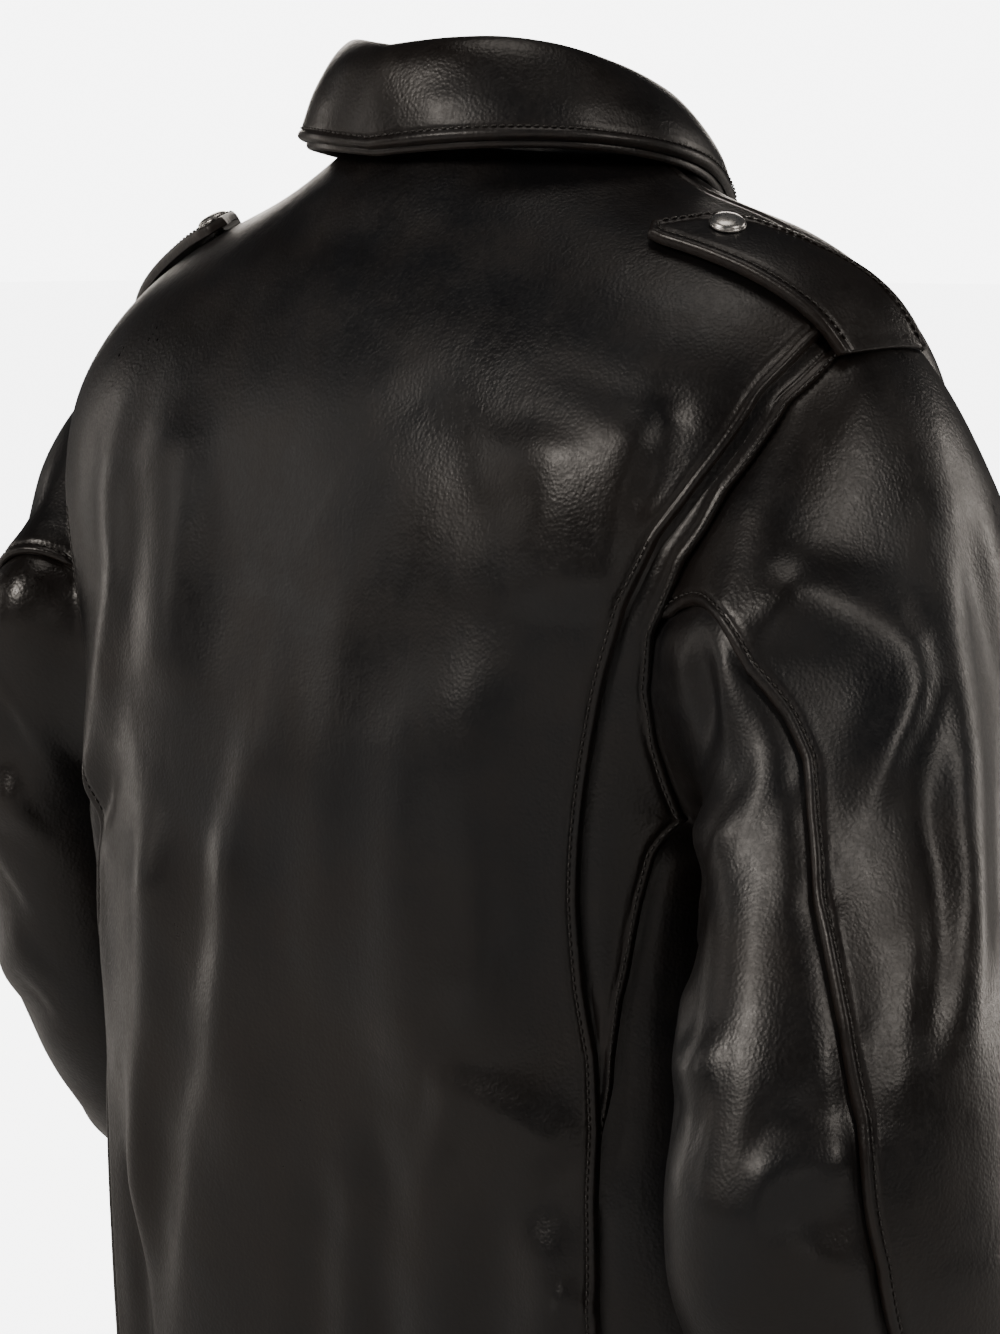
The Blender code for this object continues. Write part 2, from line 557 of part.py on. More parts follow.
# chest pocket on the wearer's left
a, b = (-126.0, 0.500), (-144.0, 0.575)
strip("chest_zip", body, a, b, 0.0070, "nickel", 0.0024, 0.0018)
slider_and_pull("chest", body, (a[0] + (b[0] - a[0]) * 0.16, a[1] + (b[1] - a[1]) * 0.16), b, 0.0036)

# cuff zips on the outer side of the forearm
for side, tag in ((-1, "right"), (1, "left")):
    surf = arm(side)
    fl = side < 0
    a, b = (25.0, 0.990), (25.0, 0.800)
    strip("cuff_zip_" + tag, surf, a, b, 0.0062, "nickel", 0.0040, 0.0018, flip=fl)
    slider_and_pull("cuff_" + tag, surf, (25.0, 0.915), (25.0, 0.990), 0.0052, flip=fl)


# ---------------------------------------------------------------- belt
def z_to_t(z):
    return np.interp(-np.asarray(z, float), -RINGS[5:, 5], RINGS[5:, 0])


def belt(name, lo, hi, nu, lift=0.0060, thick=STRAP, z0=BELT_Z0, z1=BELT_Z1):
    panel(name, body, const(lo), const(hi), [float(z_to_t(z)) for z in (z1, (z0 + z1) / 2, z0)], nu, "leather", lift=lift, thick=thick)


belt("belt_right", 113, 172.5, 9)
belt("belt_left", 188.5, 247, 9)
for side, tag in ((1, "right"), (-1, "left")):
    for k, ph in enumerate((118.0, 146.0)):
        p0, p1 = sorted((side * (ph - 2.0), side * (ph + 2.0)))
        panel("belt_loop_%s_%d" % (tag, k + 1), body, const(p0), const(p1), [float(z_to_t(z)) for z in (0.062, 0.035, 0.008)], 2, "leather", lift=0.0086, thick=0.0022)

# buckle: a rounded frame and a prong on its left bar
bo, bx = frame_on(body, 180.0, float(z_to_t(0.035)), 180.0, float(z_to_t(0.060)), 0.0125)
curve = bpy.data.curves.new("buckle_frame", "CURVE")
curve.dimensions = "3D"
sp = curve.splines.new("POLY")
pts = []
hw, hh, cr = BUCKLE_W / 2 - 0.003, BUCKLE_H / 2 - 0.003, 0.007
for cx, cy, a0 in ((hw - cr, hh - cr, 0), (-hw + cr, hh - cr, 90), (-hw + cr, -hh + cr, 180), (hw - cr, -hh + cr, 270)):
    for q in (0, 30, 60, 90):
        a = math.radians(a0 + q)
        pts.append((cx + cr * math.cos(a), cy + cr * math.sin(a), 0.0))
sp.points.add(len(pts) - 1)
for k, q in enumerate(pts):
    sp.points[k].co = (*q, 1.0)
sp.use_cyclic_u = True
curve.bevel_depth, curve.bevel_resolution = BUCKLE_ROD, 2
frame_obj = bpy.data.objects.new("buckle_frame", curve)
OBJECT.objects.link(frame_obj)
curve.materials.append(material("buckle_frame_nickel", LOOKS["nickel"][0], 0.22, 1.0))
place(frame_obj, bo, bx)
bar = bo + bx[:, 0] * hw + bx[:, 2] * (BUCKLE_ROD + 0.0020)
bevelled_box("buckle_prong", (0.044, 0.0034, 0.0026), "nickel", bar, bx, local=(-0.0215, 0, 0), bevel=0.0005)

# lapel and collar snaps
for side, tag in ((1, "right"), (-1, "left")):
    o, i = lapel_grid(side, 10, 18)
    c, c2, c3 = o[8, 3], o[9, 3], o[8, 4]
    n = normals(body, np.array(side * 112.0), np.array(0.19))
    du, dv = c2 - c, c3 - c
    n = np.cross(du, dv)
    n /= np.linalg.norm(n)
    if n @ (c - np.array([0, 0, 0.5])) < 0:
        n = -n
    x = du / np.linalg.norm(du)
    ax = np.stack([x, np.cross(n, x), n], 1)
    cap("lapel_snap_" + tag, c + n * 0.0006, ax, d=0.0140, h=0.0030)

# the finished part has its origin at the hanger loop
from mathutils import Matrix

bpy.context.view_layer.update()
for item in OBJECT.objects:
    item.matrix_world = Matrix.Translation([-c for c in NAPE]) @ item.matrix_world
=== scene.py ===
"""Leather riding jacket: the visible model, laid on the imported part.

The panels are laid on the same two surfaces as the part (torso and sleeve), in a design
frame whose hem is z = 0, and every point is then moved to the part's own frame.
"""
import math

import bpy
import numpy as np
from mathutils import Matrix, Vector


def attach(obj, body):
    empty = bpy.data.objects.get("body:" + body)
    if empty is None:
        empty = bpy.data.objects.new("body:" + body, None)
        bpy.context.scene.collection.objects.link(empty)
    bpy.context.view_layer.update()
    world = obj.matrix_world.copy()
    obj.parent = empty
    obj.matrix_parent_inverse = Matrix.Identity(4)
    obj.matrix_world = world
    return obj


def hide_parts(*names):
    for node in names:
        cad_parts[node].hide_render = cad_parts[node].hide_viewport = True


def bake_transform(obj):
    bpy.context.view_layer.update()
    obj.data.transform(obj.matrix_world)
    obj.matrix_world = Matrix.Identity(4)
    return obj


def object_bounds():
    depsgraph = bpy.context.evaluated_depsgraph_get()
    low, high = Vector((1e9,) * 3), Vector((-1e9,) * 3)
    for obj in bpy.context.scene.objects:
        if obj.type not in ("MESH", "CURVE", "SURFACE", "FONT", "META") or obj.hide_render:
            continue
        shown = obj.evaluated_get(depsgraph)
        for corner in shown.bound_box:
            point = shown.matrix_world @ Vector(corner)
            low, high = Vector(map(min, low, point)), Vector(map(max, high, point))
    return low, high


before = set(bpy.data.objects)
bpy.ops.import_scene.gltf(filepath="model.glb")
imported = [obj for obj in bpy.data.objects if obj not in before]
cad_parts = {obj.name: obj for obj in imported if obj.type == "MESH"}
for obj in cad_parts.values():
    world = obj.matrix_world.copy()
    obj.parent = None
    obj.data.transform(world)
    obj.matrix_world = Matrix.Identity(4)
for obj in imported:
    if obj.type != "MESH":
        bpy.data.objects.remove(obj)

CAD_BOX = [list(map(float, c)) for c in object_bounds()]

NAPE = np.array([0.0, 0.064, 0.630])
PIVOT_Y, PIVOT_Z = 0.005, 0.470
ZIP_HALF = 0.0080
LINING_INSET = 0.0085
SLEEVE_CLEAR = 0.0013

# t, half width, back y, side y, front y, back z, side z, front z, back and front fullness
RINGS = np.array([
    [0.00, 0.076, 0.074, 0.000, -0.070, 0.622, 0.617, 0.552, 2.0, 2.0],
    [0.10, 0.112, 0.094, 0.000, -0.085, 0.597, 0.596, 0.523, 2.0, 2.0],
    [0.20, 0.158, 0.116, 0.000, -0.100, 0.562, 0.581, 0.500, 2.1, 2.0],
    [0.30, 0.206, 0.138, 0.000, -0.112, 0.518, 0.553, 0.466, 2.3, 2.1],
    [0.38, 0.228, 0.150, 0.000, -0.120, 0.476, 0.512, 0.435, 2.6, 2.2],
    [0.48, 0.218, 0.158, 0.002, -0.126, 0.420, 0.430, 0.395, 2.8, 2.3],
    [0.60, 0.194, 0.160, 0.004, -0.128, 0.330, 0.325, 0.320, 2.8, 2.3],
    [0.80, 0.202, 0.150, 0.004, -0.128, 0.165, 0.165, 0.165, 2.7, 2.3],
    [1.00, 0.208, 0.138, 0.002, -0.128, 0.000, 0.000, 0.000, 2.6, 2.3],
])

# s, outer line (|x|, y, z), inner line (|x|, y, z), depth behind, depth in front, pinch
ARM_RIGHT = np.array([
    [0.00, 0.2270, 0.002, 0.541, 0.198, 0.012, 0.318, 0.100, 0.090, 0.10],
    [0.10, 0.2450, 0.004, 0.498, 0.200, 0.016, 0.298, 0.114, 0.092, 0.22],
    [0.20, 0.2660, 0.012, 0.440, 0.202, 0.026, 0.278, 0.113, 0.092, 0.16],
    [0.32, 0.2940, 0.034, 0.362, 0.205, 0.046, 0.250, 0.106, 0.092, 0.06],
    [0.45, 0.3240, 0.070, 0.272, 0.210, 0.074, 0.205, 0.101, 0.090, 0.00],
    [0.57, 0.3400, 0.088, 0.190, 0.215, 0.088, 0.150, 0.098, 0.086, 0.00],
    [0.72, 0.3400, 0.056, 0.105, 0.218, 0.056, 0.080, 0.086, 0.076, 0.00],
    [0.88, 0.3320, -0.020, 0.030, 0.220, -0.018, 0.020, 0.068, 0.064, 0.00],
    [1.00, 0.3240, -0.080, -0.025, 0.222, -0.080, -0.030, 0.055, 0.053, 0.00],
])
FORWARD = np.array([0, 0.004, 0.012, 0.032, 0.080, 0.130, 0.160, 0.150, 0.135])
ARM_LEFT = ARM_RIGHT.copy()
ARM_LEFT[:, 2] -= FORWARD
ARM_LEFT[:, 5] -= FORWARD
ARM_LEFT[:, 7] -= np.array([0, 0.000, 0.004, 0.006, 0.008, 0.010, 0.010, 0.006, 0.0])
ARM_LEFT[:, 1] += np.array([0, 0.000, 0.004, 0.010, 0.000, -0.004, -0.010, -0.006, 0.0])

# surface of revolution about the swing axis that parts torso from sleeve
PART_RHO = [0.00, 0.03, 0.05, 0.068, 0.084, 0.104, 0.124, 0.145, 0.17, 0.22, 0.32, 0.47, 0.80]
PART_X = [0.205, 0.207, 0.213, 0.2210, 0.2210, 0.207, 0.196, 0.1915, 0.194, 0.202, 0.210, 0.2150, 0.222]


def spline(knots, values, x):
    """Natural cubic spline through values at knots, read at x."""
    k = np.asarray(knots, float)
    v = np.asarray(values, float)
    flat = v.reshape(len(k), -1)
    n = len(k)
    h = np.diff(k)
    a = np.zeros((n, n))
    b = np.zeros((n, flat.shape[1]))
    a[0, 0] = a[-1, -1] = 1.0
    for i in range(1, n - 1):
        a[i, i - 1], a[i, i], a[i, i + 1] = h[i - 1], 2 * (h[i - 1] + h[i]), h[i]
        b[i] = 6 * ((flat[i + 1] - flat[i]) / h[i] - (flat[i] - flat[i - 1]) / h[i - 1])
    m = np.linalg.solve(a, b)
    x = np.asarray(x, float)
    q = np.clip(x.ravel(), k[0], k[-1])
    i = np.clip(np.searchsorted(k, q, side="right") - 1, 0, n - 2)
    u = (k[i + 1] - q)[:, None]
    w = (q - k[i])[:, None]
    hi = h[i][:, None]
    r = (m[i] * u**3 + m[i + 1] * w**3) / (6 * hi)
    r += (flat[i] / hi - m[i] * hi / 6) * u + (flat[i + 1] / hi - m[i + 1] * hi / 6) * w
    return r.reshape(x.shape + v.shape[1:])


def body(ph, t):
    """Body surface. ph in degrees: 0 centre back, +90 wearer's right side, 180 front."""
    ph, t = np.broadcast_arrays(np.asarray(ph, float), np.asarray(t, float))
    r = spline(RINGS[:, 0], RINGS[:, 1:], t)
    a, yb, yc, yf, zb, zs, zf, nb, nf = np.moveaxis(r, -1, 0)
    c, s = np.cos(np.radians(ph)), np.sin(np.radians(ph))
    n = np.where(c >= 0, nb, nf)
    rho = (np.abs(s) ** n + np.abs(c) ** n) ** (-1.0 / n)
    x = -a * s * rho
    y = yc + np.where(c >= 0, yb - yc, yc - yf) * c * rho
    z = zs + (np.where(c >= 0, zb, zf) - zs) * c * c
    return np.stack([x, y, z], -1)


def arm(side):
    """Sleeve surface of one side. ps in degrees: 0 outer, 90 back, 180 inner, 270 front."""
    tab = ARM_RIGHT if side < 0 else ARM_LEFT

    def surface(ps, s):
        ps, s = np.broadcast_arrays(np.asarray(ps, float), np.asarray(s, float))
        r = spline(tab[:, 0], tab[:, 1:], s)
        top, low, vb, vf, pinch = r[..., 0:3], r[..., 3:6], r[..., 6], r[..., 7], r[..., 8]
        mid, u = (top + low) / 2, (top - low) / 2
        c, sn = np.cos(np.radians(ps)), np.sin(np.radians(ps))
        p = mid + c[..., None] * u
        p = p + 0.0
        p[..., 1] += np.where(sn > 0, vb, vf) * sn * (1 - pinch * np.maximum(c, 0) ** 2)
        p[..., 0] *= side
        return p

    return surface


def collar(ph, u):
    """Collar surface: u 0 at the neck seam, about 0.42 at the roll, 1 at the outer edge."""
    ph, u = np.broadcast_arrays(np.asarray(ph, float), np.asarray(u, float))
    k = [0.0, 45.0, 90.0, 130.0, 160.0]
    r = spline(k, [
        [0.0760, 0.628, 0.0815, 0.661, 0.0965, 0.615],
        [0.0770, 0.624, 0.0745, 0.664, 0.1005, 0.620],
        [0.0780, 0.621, 0.0765, 0.648, 0.1010, 0.613],
        [0.0780, 0.595, 0.0805, 0.622, 0.1000, 0.590],
        [0.0790, 0.564, 0.0840, 0.592, 0.1040, 0.556],
    ], np.abs(ph))
    rn, zn, rr, zr, ro, zo = np.moveaxis(r, -1, 0)
    pr = np.stack([rn, rn + 0.6 * (rr - rn) - 0.001, rr, rr + 0.0065, (rr + ro) / 2 + 0.0045, ro], -1)
    pz = np.stack([zn, zn + 0.6 * (zr - zn), zr, zr - 0.0045, (zr + zo) / 2 - 0.002, zo], -1)
    ks = np.array([0.0, 0.26, 0.42, 0.52, 0.76, 1.0])
    out_r = np.zeros(u.shape)
    out_z = np.zeros(u.shape)
    for i in range(len(ks)):
        unit = np.zeros(len(ks))
        unit[i] = 1.0
        w = spline(ks, unit, u)
        out_r = out_r + w * pr[..., i]
        out_z = out_z + w * pz[..., i]
    a = np.radians(ph)
    return np.stack([-np.sin(a) * out_r, 0.004 + np.cos(a) * out_r, out_z], -1)


def split_x(p):
    return np.interp(np.hypot(p[..., 1] - PIVOT_Y, p[..., 2] - PIVOT_Z), PART_RHO, PART_X)


def keep_inside(p):
    f = split_x(p) - SLEEVE_CLEAR
    p = p.copy()
    p[..., 0] = np.clip(p[..., 0], -f, f)
    return p


def keep_outside(side):
    def fix(p):
        p = p.copy()
        p[..., 0] = side * np.maximum(side * p[..., 0], split_x(p) + SLEEVE_CLEAR)
        return p
    return fix


def normals(surface, u, v, eu=0.5, ev=0.004, flip=False):
    du = surface(u + eu, v) - surface(u - eu, v)
    lo, hi = np.clip(v - ev, 0, 1), np.clip(v + ev, 0, 1)
    dv = surface(u, hi) - surface(u, lo)
    n = np.cross(dv, du)
    n /= np.maximum(np.linalg.norm(n, axis=-1, keepdims=True), 1e-12)
    return -n if flip else n



def const(v):
    return lambda t: np.full(np.shape(t), float(v))


def line(ts, vs):
    return lambda t: np.interp(t, ts, vs)


# ---------------------------------------------------------------- seam lines
# edge of the back panel: shoulder seam, then the pleat, then the side seam
T_SHOULDER = 0.330
PLEAT_T = [0.300, 0.326, 0.338, 0.368, 0.414, 0.446, 0.484, 0.524, 0.586, 0.639, 0.687, 0.724, 0.762, 0.800, 0.870, 1.000]
PLEAT_P = [90.0, 90.0, 69.0, 61.7, 53.9, 49.3, 46.9, 46.1, 45.9, 45.7, 46.1, 46.9, 46.3, 44.9, 43.8, 43.0]
GUSSET_T = [0.594, 0.614, 0.639, 0.692, 0.739, 0.750]
GUSSET_P = [58.0, 55.4, 53.2, 49.0, 47.6, 47.4]
PLEAT_T[:3], PLEAT_P[:3] = [0.296, 0.318, 0.340], [90.0, 81.0, 71.5]
back_edge = line(PLEAT_T, PLEAT_P)
gusset_low = line(GUSSET_T, GUSSET_P)
ARM_TOP_T, ARM_LOW_T = 0.338, 0.612


def armhole_table(front):
    grid = np.linspace(44, 90, 300) if not front else np.linspace(140, 90, 300)
    ts = np.linspace(0.32, 0.64, 240)
    u, v = np.meshgrid(grid, ts, indexing="ij")
    p = body(u, v)
    over = np.abs(p[..., 0]) - (split_x(p) - SLEEVE_CLEAR)
    hit = over >= 0
    first = np.where(hit.any(0), hit.argmax(0), len(grid) - 1)
    before = np.maximum(first - 1, 0)
    j = np.arange(len(ts))
    a, b = over[before, j], over[first, j]
    k = np.where(b - a > 1e-9, np.clip(-a / np.maximum(b - a, 1e-9), 0, 1), 1.0)
    angle = grid[before] + (grid[first] - grid[before]) * k
    soft = np.array([1, 2, 3, 2, 1]) / 9.0
    padded = np.concatenate([angle[:1], angle[:1], angle, angle[-1:], angle[-1:]])
    return ts, np.convolve(padded, soft, "valid")


ARMHOLES = {}


def armhole(ts, front):
    """Angle at which the body meets the parting surface, on the back or front side."""
    if front not in ARMHOLES:
        ARMHOLES[front] = armhole_table(front)
    return np.interp(ts, *ARMHOLES[front])


# the armhole seam as sewn: angle round the sleeve, angle round the torso, height t
ARM_SEAM = np.array([
    [0, 90, .330], [20, 78, .348], [40, 66, .378], [60, 57.5, .425], [75, 53.3, .462], [90, 51.4, .500],
    [105, 52.0, .530], [120, 54.2, .556], [135, 57.0, .578], [150, 59.5, .595], [165, 66, .606], [180, 76, .612],
    [200, 90, .612], [215, 99, .603], [235, 108, .575], [255, 113, .535], [270, 114, .500], [290, 114, .455],
    [310, 112, .415], [330, 106, .375], [345, 98, .348], [360, 90, .330]])
BACK_HOLE = ARM_SEAM[:10]
FRONT_HOLE = ARM_SEAM[13:][::-1]


def seam_back(ts):
    return np.interp(ts, BACK_HOLE[:, 2], BACK_HOLE[:, 1])


def seam_front(ts):
    return np.interp(ts, FRONT_HOLE[:, 2], FRONT_HOLE[:, 1])


SIDE_T = [0.594, 0.604, 0.614, 0.639, 0.692, 0.739, 0.770, 0.795]
SIDE_P = [61.0, 58.0, 56.0, 54.3, 51.4, 49.8, 48.0, 45.9]


def gusset_outer(ts):
    ts = np.asarray(ts, float)
    low = np.interp(ts, SIDE_T, SIDE_P)
    return np.where(ts < 0.594, np.maximum(seam_back(ts), back_edge(ts) + 1.0), low)


def front_outer(ts):
    ts = np.asarray(ts, float)
    low = np.where(ts < 0.795, gusset_outer(np.maximum(ts, 0.596)), back_edge(ts))
    k = np.clip((ts - 0.588) / (0.599 - 0.588), 0, 1)
    side = seam_front(np.minimum(ts, 0.588)) * (1 - k) + low * k
    return np.where(ts <= 0.330, 90.0, side)


ZIP_T = [0.48, 0.60, 0.80, 1.00]
ZIP_P = [165.4, 168.5, 173.5, 177.3]
zip_line = line(ZIP_T, ZIP_P)
ZIP_TOP = 0.480


def zip_gap(ts):
    return np.degrees(ZIP_HALF / 0.215) * np.ones(np.shape(ts))


def right_inner(ts):
    return np.where(ts >= ZIP_TOP, zip_line(ts) - zip_gap(ts), np.interp(ts, [0, 0.24, ZIP_TOP], [128.0, 147.0, 163.2]))


def left_inner(ts):
    return np.where(ts >= ZIP_TOP, zip_line(ts) + zip_gap(ts), np.interp(ts, [0, 0.24, ZIP_TOP], [232.0, 213.0, 197.0 - 29.4])) 




# ---------------------------------------------------------------- soft shape of the leather
def value_noise(p, scale, seed):
    """Smooth noise from -1 to 1 at points p, with features about `scale` metres across."""
    rng = np.random.default_rng(seed)
    table = rng.uniform(-1, 1, 4096)
    q = p / scale + 100.0
    i = np.floor(q).astype(np.int64)
    f = q - i
    f = f * f * f * (f * (f * 6 - 15) + 10)
    out = np.zeros(p.shape[:-1])
    for a in (0, 1):
        for b in (0, 1):
            for c in (0, 1):
                h = ((i[..., 0] + a) * 73856093) ^ ((i[..., 1] + b) * 19349663) ^ ((i[..., 2] + c) * 83492791)
                w = (f[..., 0] if a else 1 - f[..., 0]) * (f[..., 1] if b else 1 - f[..., 1]) * (f[..., 2] if c else 1 - f[..., 2])
                out += table[h & 4095] * w
    return out


def fold(x, y, pts, scale, amp, left, right, ends=0.22):
    """Ridge (amp > 0) or crease (amp < 0) along a line of points; left and right are its widths in metres."""
    pts = np.asarray(pts, float) * scale
    k = np.concatenate([[0], np.cumsum(np.linalg.norm(np.diff(pts, axis=0), axis=1))])
    n = max(6, int(k[-1] / 0.012))
    if len(pts) > 2:
        c = spline(k, pts, np.linspace(0, k[-1], n))
    else:
        c = pts[0] + (pts[-1] - pts[0]) * np.linspace(0, 1, n)[:, None]
    pad = 3.0 * max(left, right)
    near = (x > c[:, 0].min() - pad) & (x < c[:, 0].max() + pad) & (y > c[:, 1].min() - pad) & (y < c[:, 1].max() + pad)
    out = np.zeros(x.shape)
    if not near.any():
        return out
    q = np.stack([x[near], y[near]], -1)
    best = np.full(len(q), 1e9)
    side = np.zeros(len(q))
    along = np.zeros(len(q))
    for j in range(n - 1):
        a, d = c[j], c[j + 1] - c[j]
        L2 = d @ d
        u = np.clip(((q - a) @ d) / L2, 0, 1)
        v = q - a - u[:, None] * d
        r = np.hypot(v[:, 0], v[:, 1])
        m = r < best
        best[m] = r[m]
        side[m] = (d[0] * (q[m, 1] - a[1]) - d[1] * (q[m, 0] - a[0]))
        along[m] = (j + u[m]) / (n - 1)
    w = np.where(side > 0, left, right)
    fade = np.clip(np.minimum(along, 1 - along) / max(ends, 1e-6), 0, 1)
    fade = 0.15 + 0.85 * fade * fade * (3 - 2 * fade)
    out[near] = amp * np.exp(-(best / w) ** 2) * fade
    return out


BODY_SCALE = np.array([0.0034, 1.0])
# points (angle in degrees, height in metres), depth, width on the wearer's right, width on the left
BODY_FOLDS = [
    ([(3.7, .435), (-.1, .40), (-1.7, .365), (-4.6, .301), (-8.1, .238), (-12.8, .166), (-17.9, .08), (-21, .0)], .0056, .034, .021),
    ([(9.9, .454), (11, .402), (10.3, .35), (8.8, .287), (6.6, .225)], .0028, .020, .020),
    ([(19.9, .404), (22.1, .353), (23.5, .292), (23.7, .239), (26.6, .197)], .0055, .020, .026),
    ([(26.4, .422), (29.3, .371), (31.7, .315), (32.4, .259), (33.9, .216)], .0048, .015, .018),
    ([(24, .212), (33.5, .200), (43, .180)], .0036, .015, .024),
    ([(24.8, .183), (32.6, .174), (42, .164)], -.0017, .013, .018),
    ([(33.7, .168), (31.7, .137), (30.6, .104), (30.0, .04)], -.0026, .013, .015),
    ([(38.5, .160), (38.0, .110), (37.5, .05)], .0024, .014, .014),
    ([(47.1, .51), (43.5, .48), (42.2, .45), (42.8, .415)], .0050, .016, .030),
    ([(49.7, .519), (47.5, .487), (46.6, .458)], -.0030, .010, .008),
    ([(33.9, .5), (33.9, .458), (34.8, .415)], .0028, .016, .020),
    ([(14, .52), (22, .48), (30, .44)], -.0025, .020, .020),
    ([(-20.6, .507), (-17.2, .467), (-17.5, .414), (-20, .36)], .0050, .018, .022),
    ([(-33.7, .501), (-28.6, .447), (-33.9, .391), (-43.5, .334), (-46.6, .267), (-37.7, .2)], .0050, .014, .016),
    ([(-32.6, .342), (-46.4, .287), (-46.8, .247), (-47.7, .205), (-48.4, .165)], -.0035, .010, .010),
    ([(-27, .33), (-27, .26), (-28, .17), (-30, .09)], .0038, .016, .018),
    ([(-36, .16), (-34, .10), (-33, .04)], -.0030, .012, .012),
    ([(17, .20), (15, .12), (13, .03)], -.0040, .016, .014),
    ([(6, .17), (3, .09), (1, .02)], -.0030, .014, .014),
    ([(39, .125), (44.2, .117)], .0018, .006, .006),
    # gathering over the shoulder blades and below the collar
    ([(-30, .585), (-10, .578), (12, .580), (30, .588)], -.0020, .012, .014),
    # front
    ([(150, .40), (146, .30), (150, .20), (154, .10)], .0045, .020, .020),
    ([(128, .42), (124, .34), (122, .24), (125, .14)], .0040, .018, .018),
    ([(-150, .36), (-146, .28), (-150, .18)], .0045, .020, .020),
    ([(-126, .40), (-122, .32), (-120, .22), (-124, .12)], .0040, .018, .018),
    ([(100, .33), (112, .27), (124, .25)], -.0035, .012, .012),
    ([(-100, .33), (-112, .27), (-124, .25)], -.0035, .012, .012),
    ([(108, .46), (118, .42), (122, .38)], .0030, .016, .016),
    ([(-108, .46), (-118, .42), (-122, .38)], .0030, .016, .016),
    ([(80, .20), (92, .14), (98, .08)], .0030, .014, .014),
    ([(-80, .20), (-92, .14), (-98, .08)], .0030, .014, .014),
]


def body_relief(ph, p):
    """How far the torso leather stands off its plain surface."""
    ph = (ph + 180.0) % 360.0 - 180.0
    x, z = ph * BODY_SCALE[0], p[..., 2]
    x = x + 0.0060 * value_noise(p, 0.075, 14) + 0.0020 * value_noise(p, 0.030, 15)
    z = z + 0.0060 * value_noise(p, 0.080, 16)
    out = np.zeros(ph.shape)
    for pts, amp, wr, wl in BODY_FOLDS:
        out += fold(x, z, pts, BODY_SCALE, amp, wr, wl)
    out *= 1.0 + 0.45 * value_noise(p, 0.06, 17)
    # the folds deepen towards the waist at the back
    out *= 1.0 + 0.8 * np.clip((0.40 - z) / 0.12, 0, 1) * np.clip((62 - np.abs(ph)) / 12, 0, 1)
    q = p * np.array([1.0, 1.0, 0.55])
    out += 0.0010 * value_noise(q, 0.070, 11) + 0.00022 * value_noise(q, 0.028, 12)
    low = np.clip((0.16 - z) / 0.16, 0, 1)
    out += low * 0.0005 * value_noise(p * np.array([1.0, 1.0, 0.8]), 0.026, 13)
    return out


ARM_SCALE = np.array([0.0016, 0.62])
RIGHT_FOLDS = [
    ([(69.7, .114), (50.6, .162), (34.2, .204), (24.8, .24), (23.5, .277), (31.6, .312), (41, .341)], .0068, .014, .011),
    ([(94.5, .067), (96.8, .125), (92, .18), (83.5, .23), (75.8, .29)], -.0085, .020, .018),
    ([(99.7, .092), (95.8, .072), (93.5, .045), (84.8, .03)], .0028, .008, .008),
    ([(111, .172), (106.8, .199), (86.8, .262), (82.9, .292)], .0060, .012, .012),
    ([(118, .22), (112.9, .27), (114.5, .322)], -.0055, .014, .014),
    ([(10.6, .195), (8.4, .249), (5.5, .311), (4.5, .376), (5.2, .436), (10.3, .489), (16.5, .528)], .0050, .014, .018),
    ([(-12, .15), (-14, .25), (-15, .36), (-12, .46)], -.0035, .016, .016),
    ([(23.9, .394), (21.3, .441), (21.6, .486), (25.5, .529)], .0030, .010, .010),
    ([(15, .30), (13.5, .40), (14.5, .50)], -.0030, .009, .009),
    ([(75, .500), (62.6, .503), (44.5, .508), (32.9, .519)], -.0042, .008, .012),
    ([(72, .526), (55, .535), (36, .545)], .0045, .012, .010),
    ([(66.1, .556), (48.4, .570), (37.1, .582)], -.0038, .008, .010),
    ([(59.4, .297), (56.5, .336), (53.9, .371)], .0030, .010, .010),
    ([(49.7, .374), (42.9, .427), (36.5, .472)], .0032, .010, .010),
    ([(95, .51), (89, .524), (66.8, .564), (46.8, .600), (40.6, .63)], .0030, .012, .010),
    ([(130, .34), (116.5, .367), (118.4, .402), (93.2, .439), (80, .45)], .0060, .014, .012),
    ([(122, .44), (104, .47), (86, .48)], -.0045, .012, .012),
    ([(140, .16), (134, .24), (136, .30)], .0050, .016, .016),
    ([(30, .06), (12, .12), (2, .20)], .0022, .020, .020),
    ([(60, .66), (38, .69), (20, .71)], .0040, .012, .010),
    ([(60, .70), (40, .73), (22, .75)], -.0035, .010, .010),
    ([(100, .76), (76, .78), (52, .80)], .0038, .012, .010),
    ([(100, .80), (76, .82), (50, .84)], -.0030, .010, .010),
    ([(210, .45), (190, .50), (165, .52)], -.0060, .014, .014),
    ([(215, .52), (190, .56), (165, .58)], .0055, .014, .014),
    ([(215, .58), (190, .62), (160, .63)], -.0055, .012, .012),
    ([(270, .18), (262, .30), (258, .42)], .0045, .018, .018),
    ([(300, .24), (292, .36), (285, .46)], -.0035, .014, .014),
    ([(250, .56), (225, .60), (205, .66)], .0045, .014, .012),
    ([(310, .52), (285, .56), (262, .58)], .0038, .012, .012),
    ([(310, .56), (285, .60), (260, .62)], -.0034, .010, .010),
    ([(250, .72), (220, .76), (190, .78)], .0035, .012, .012),
]
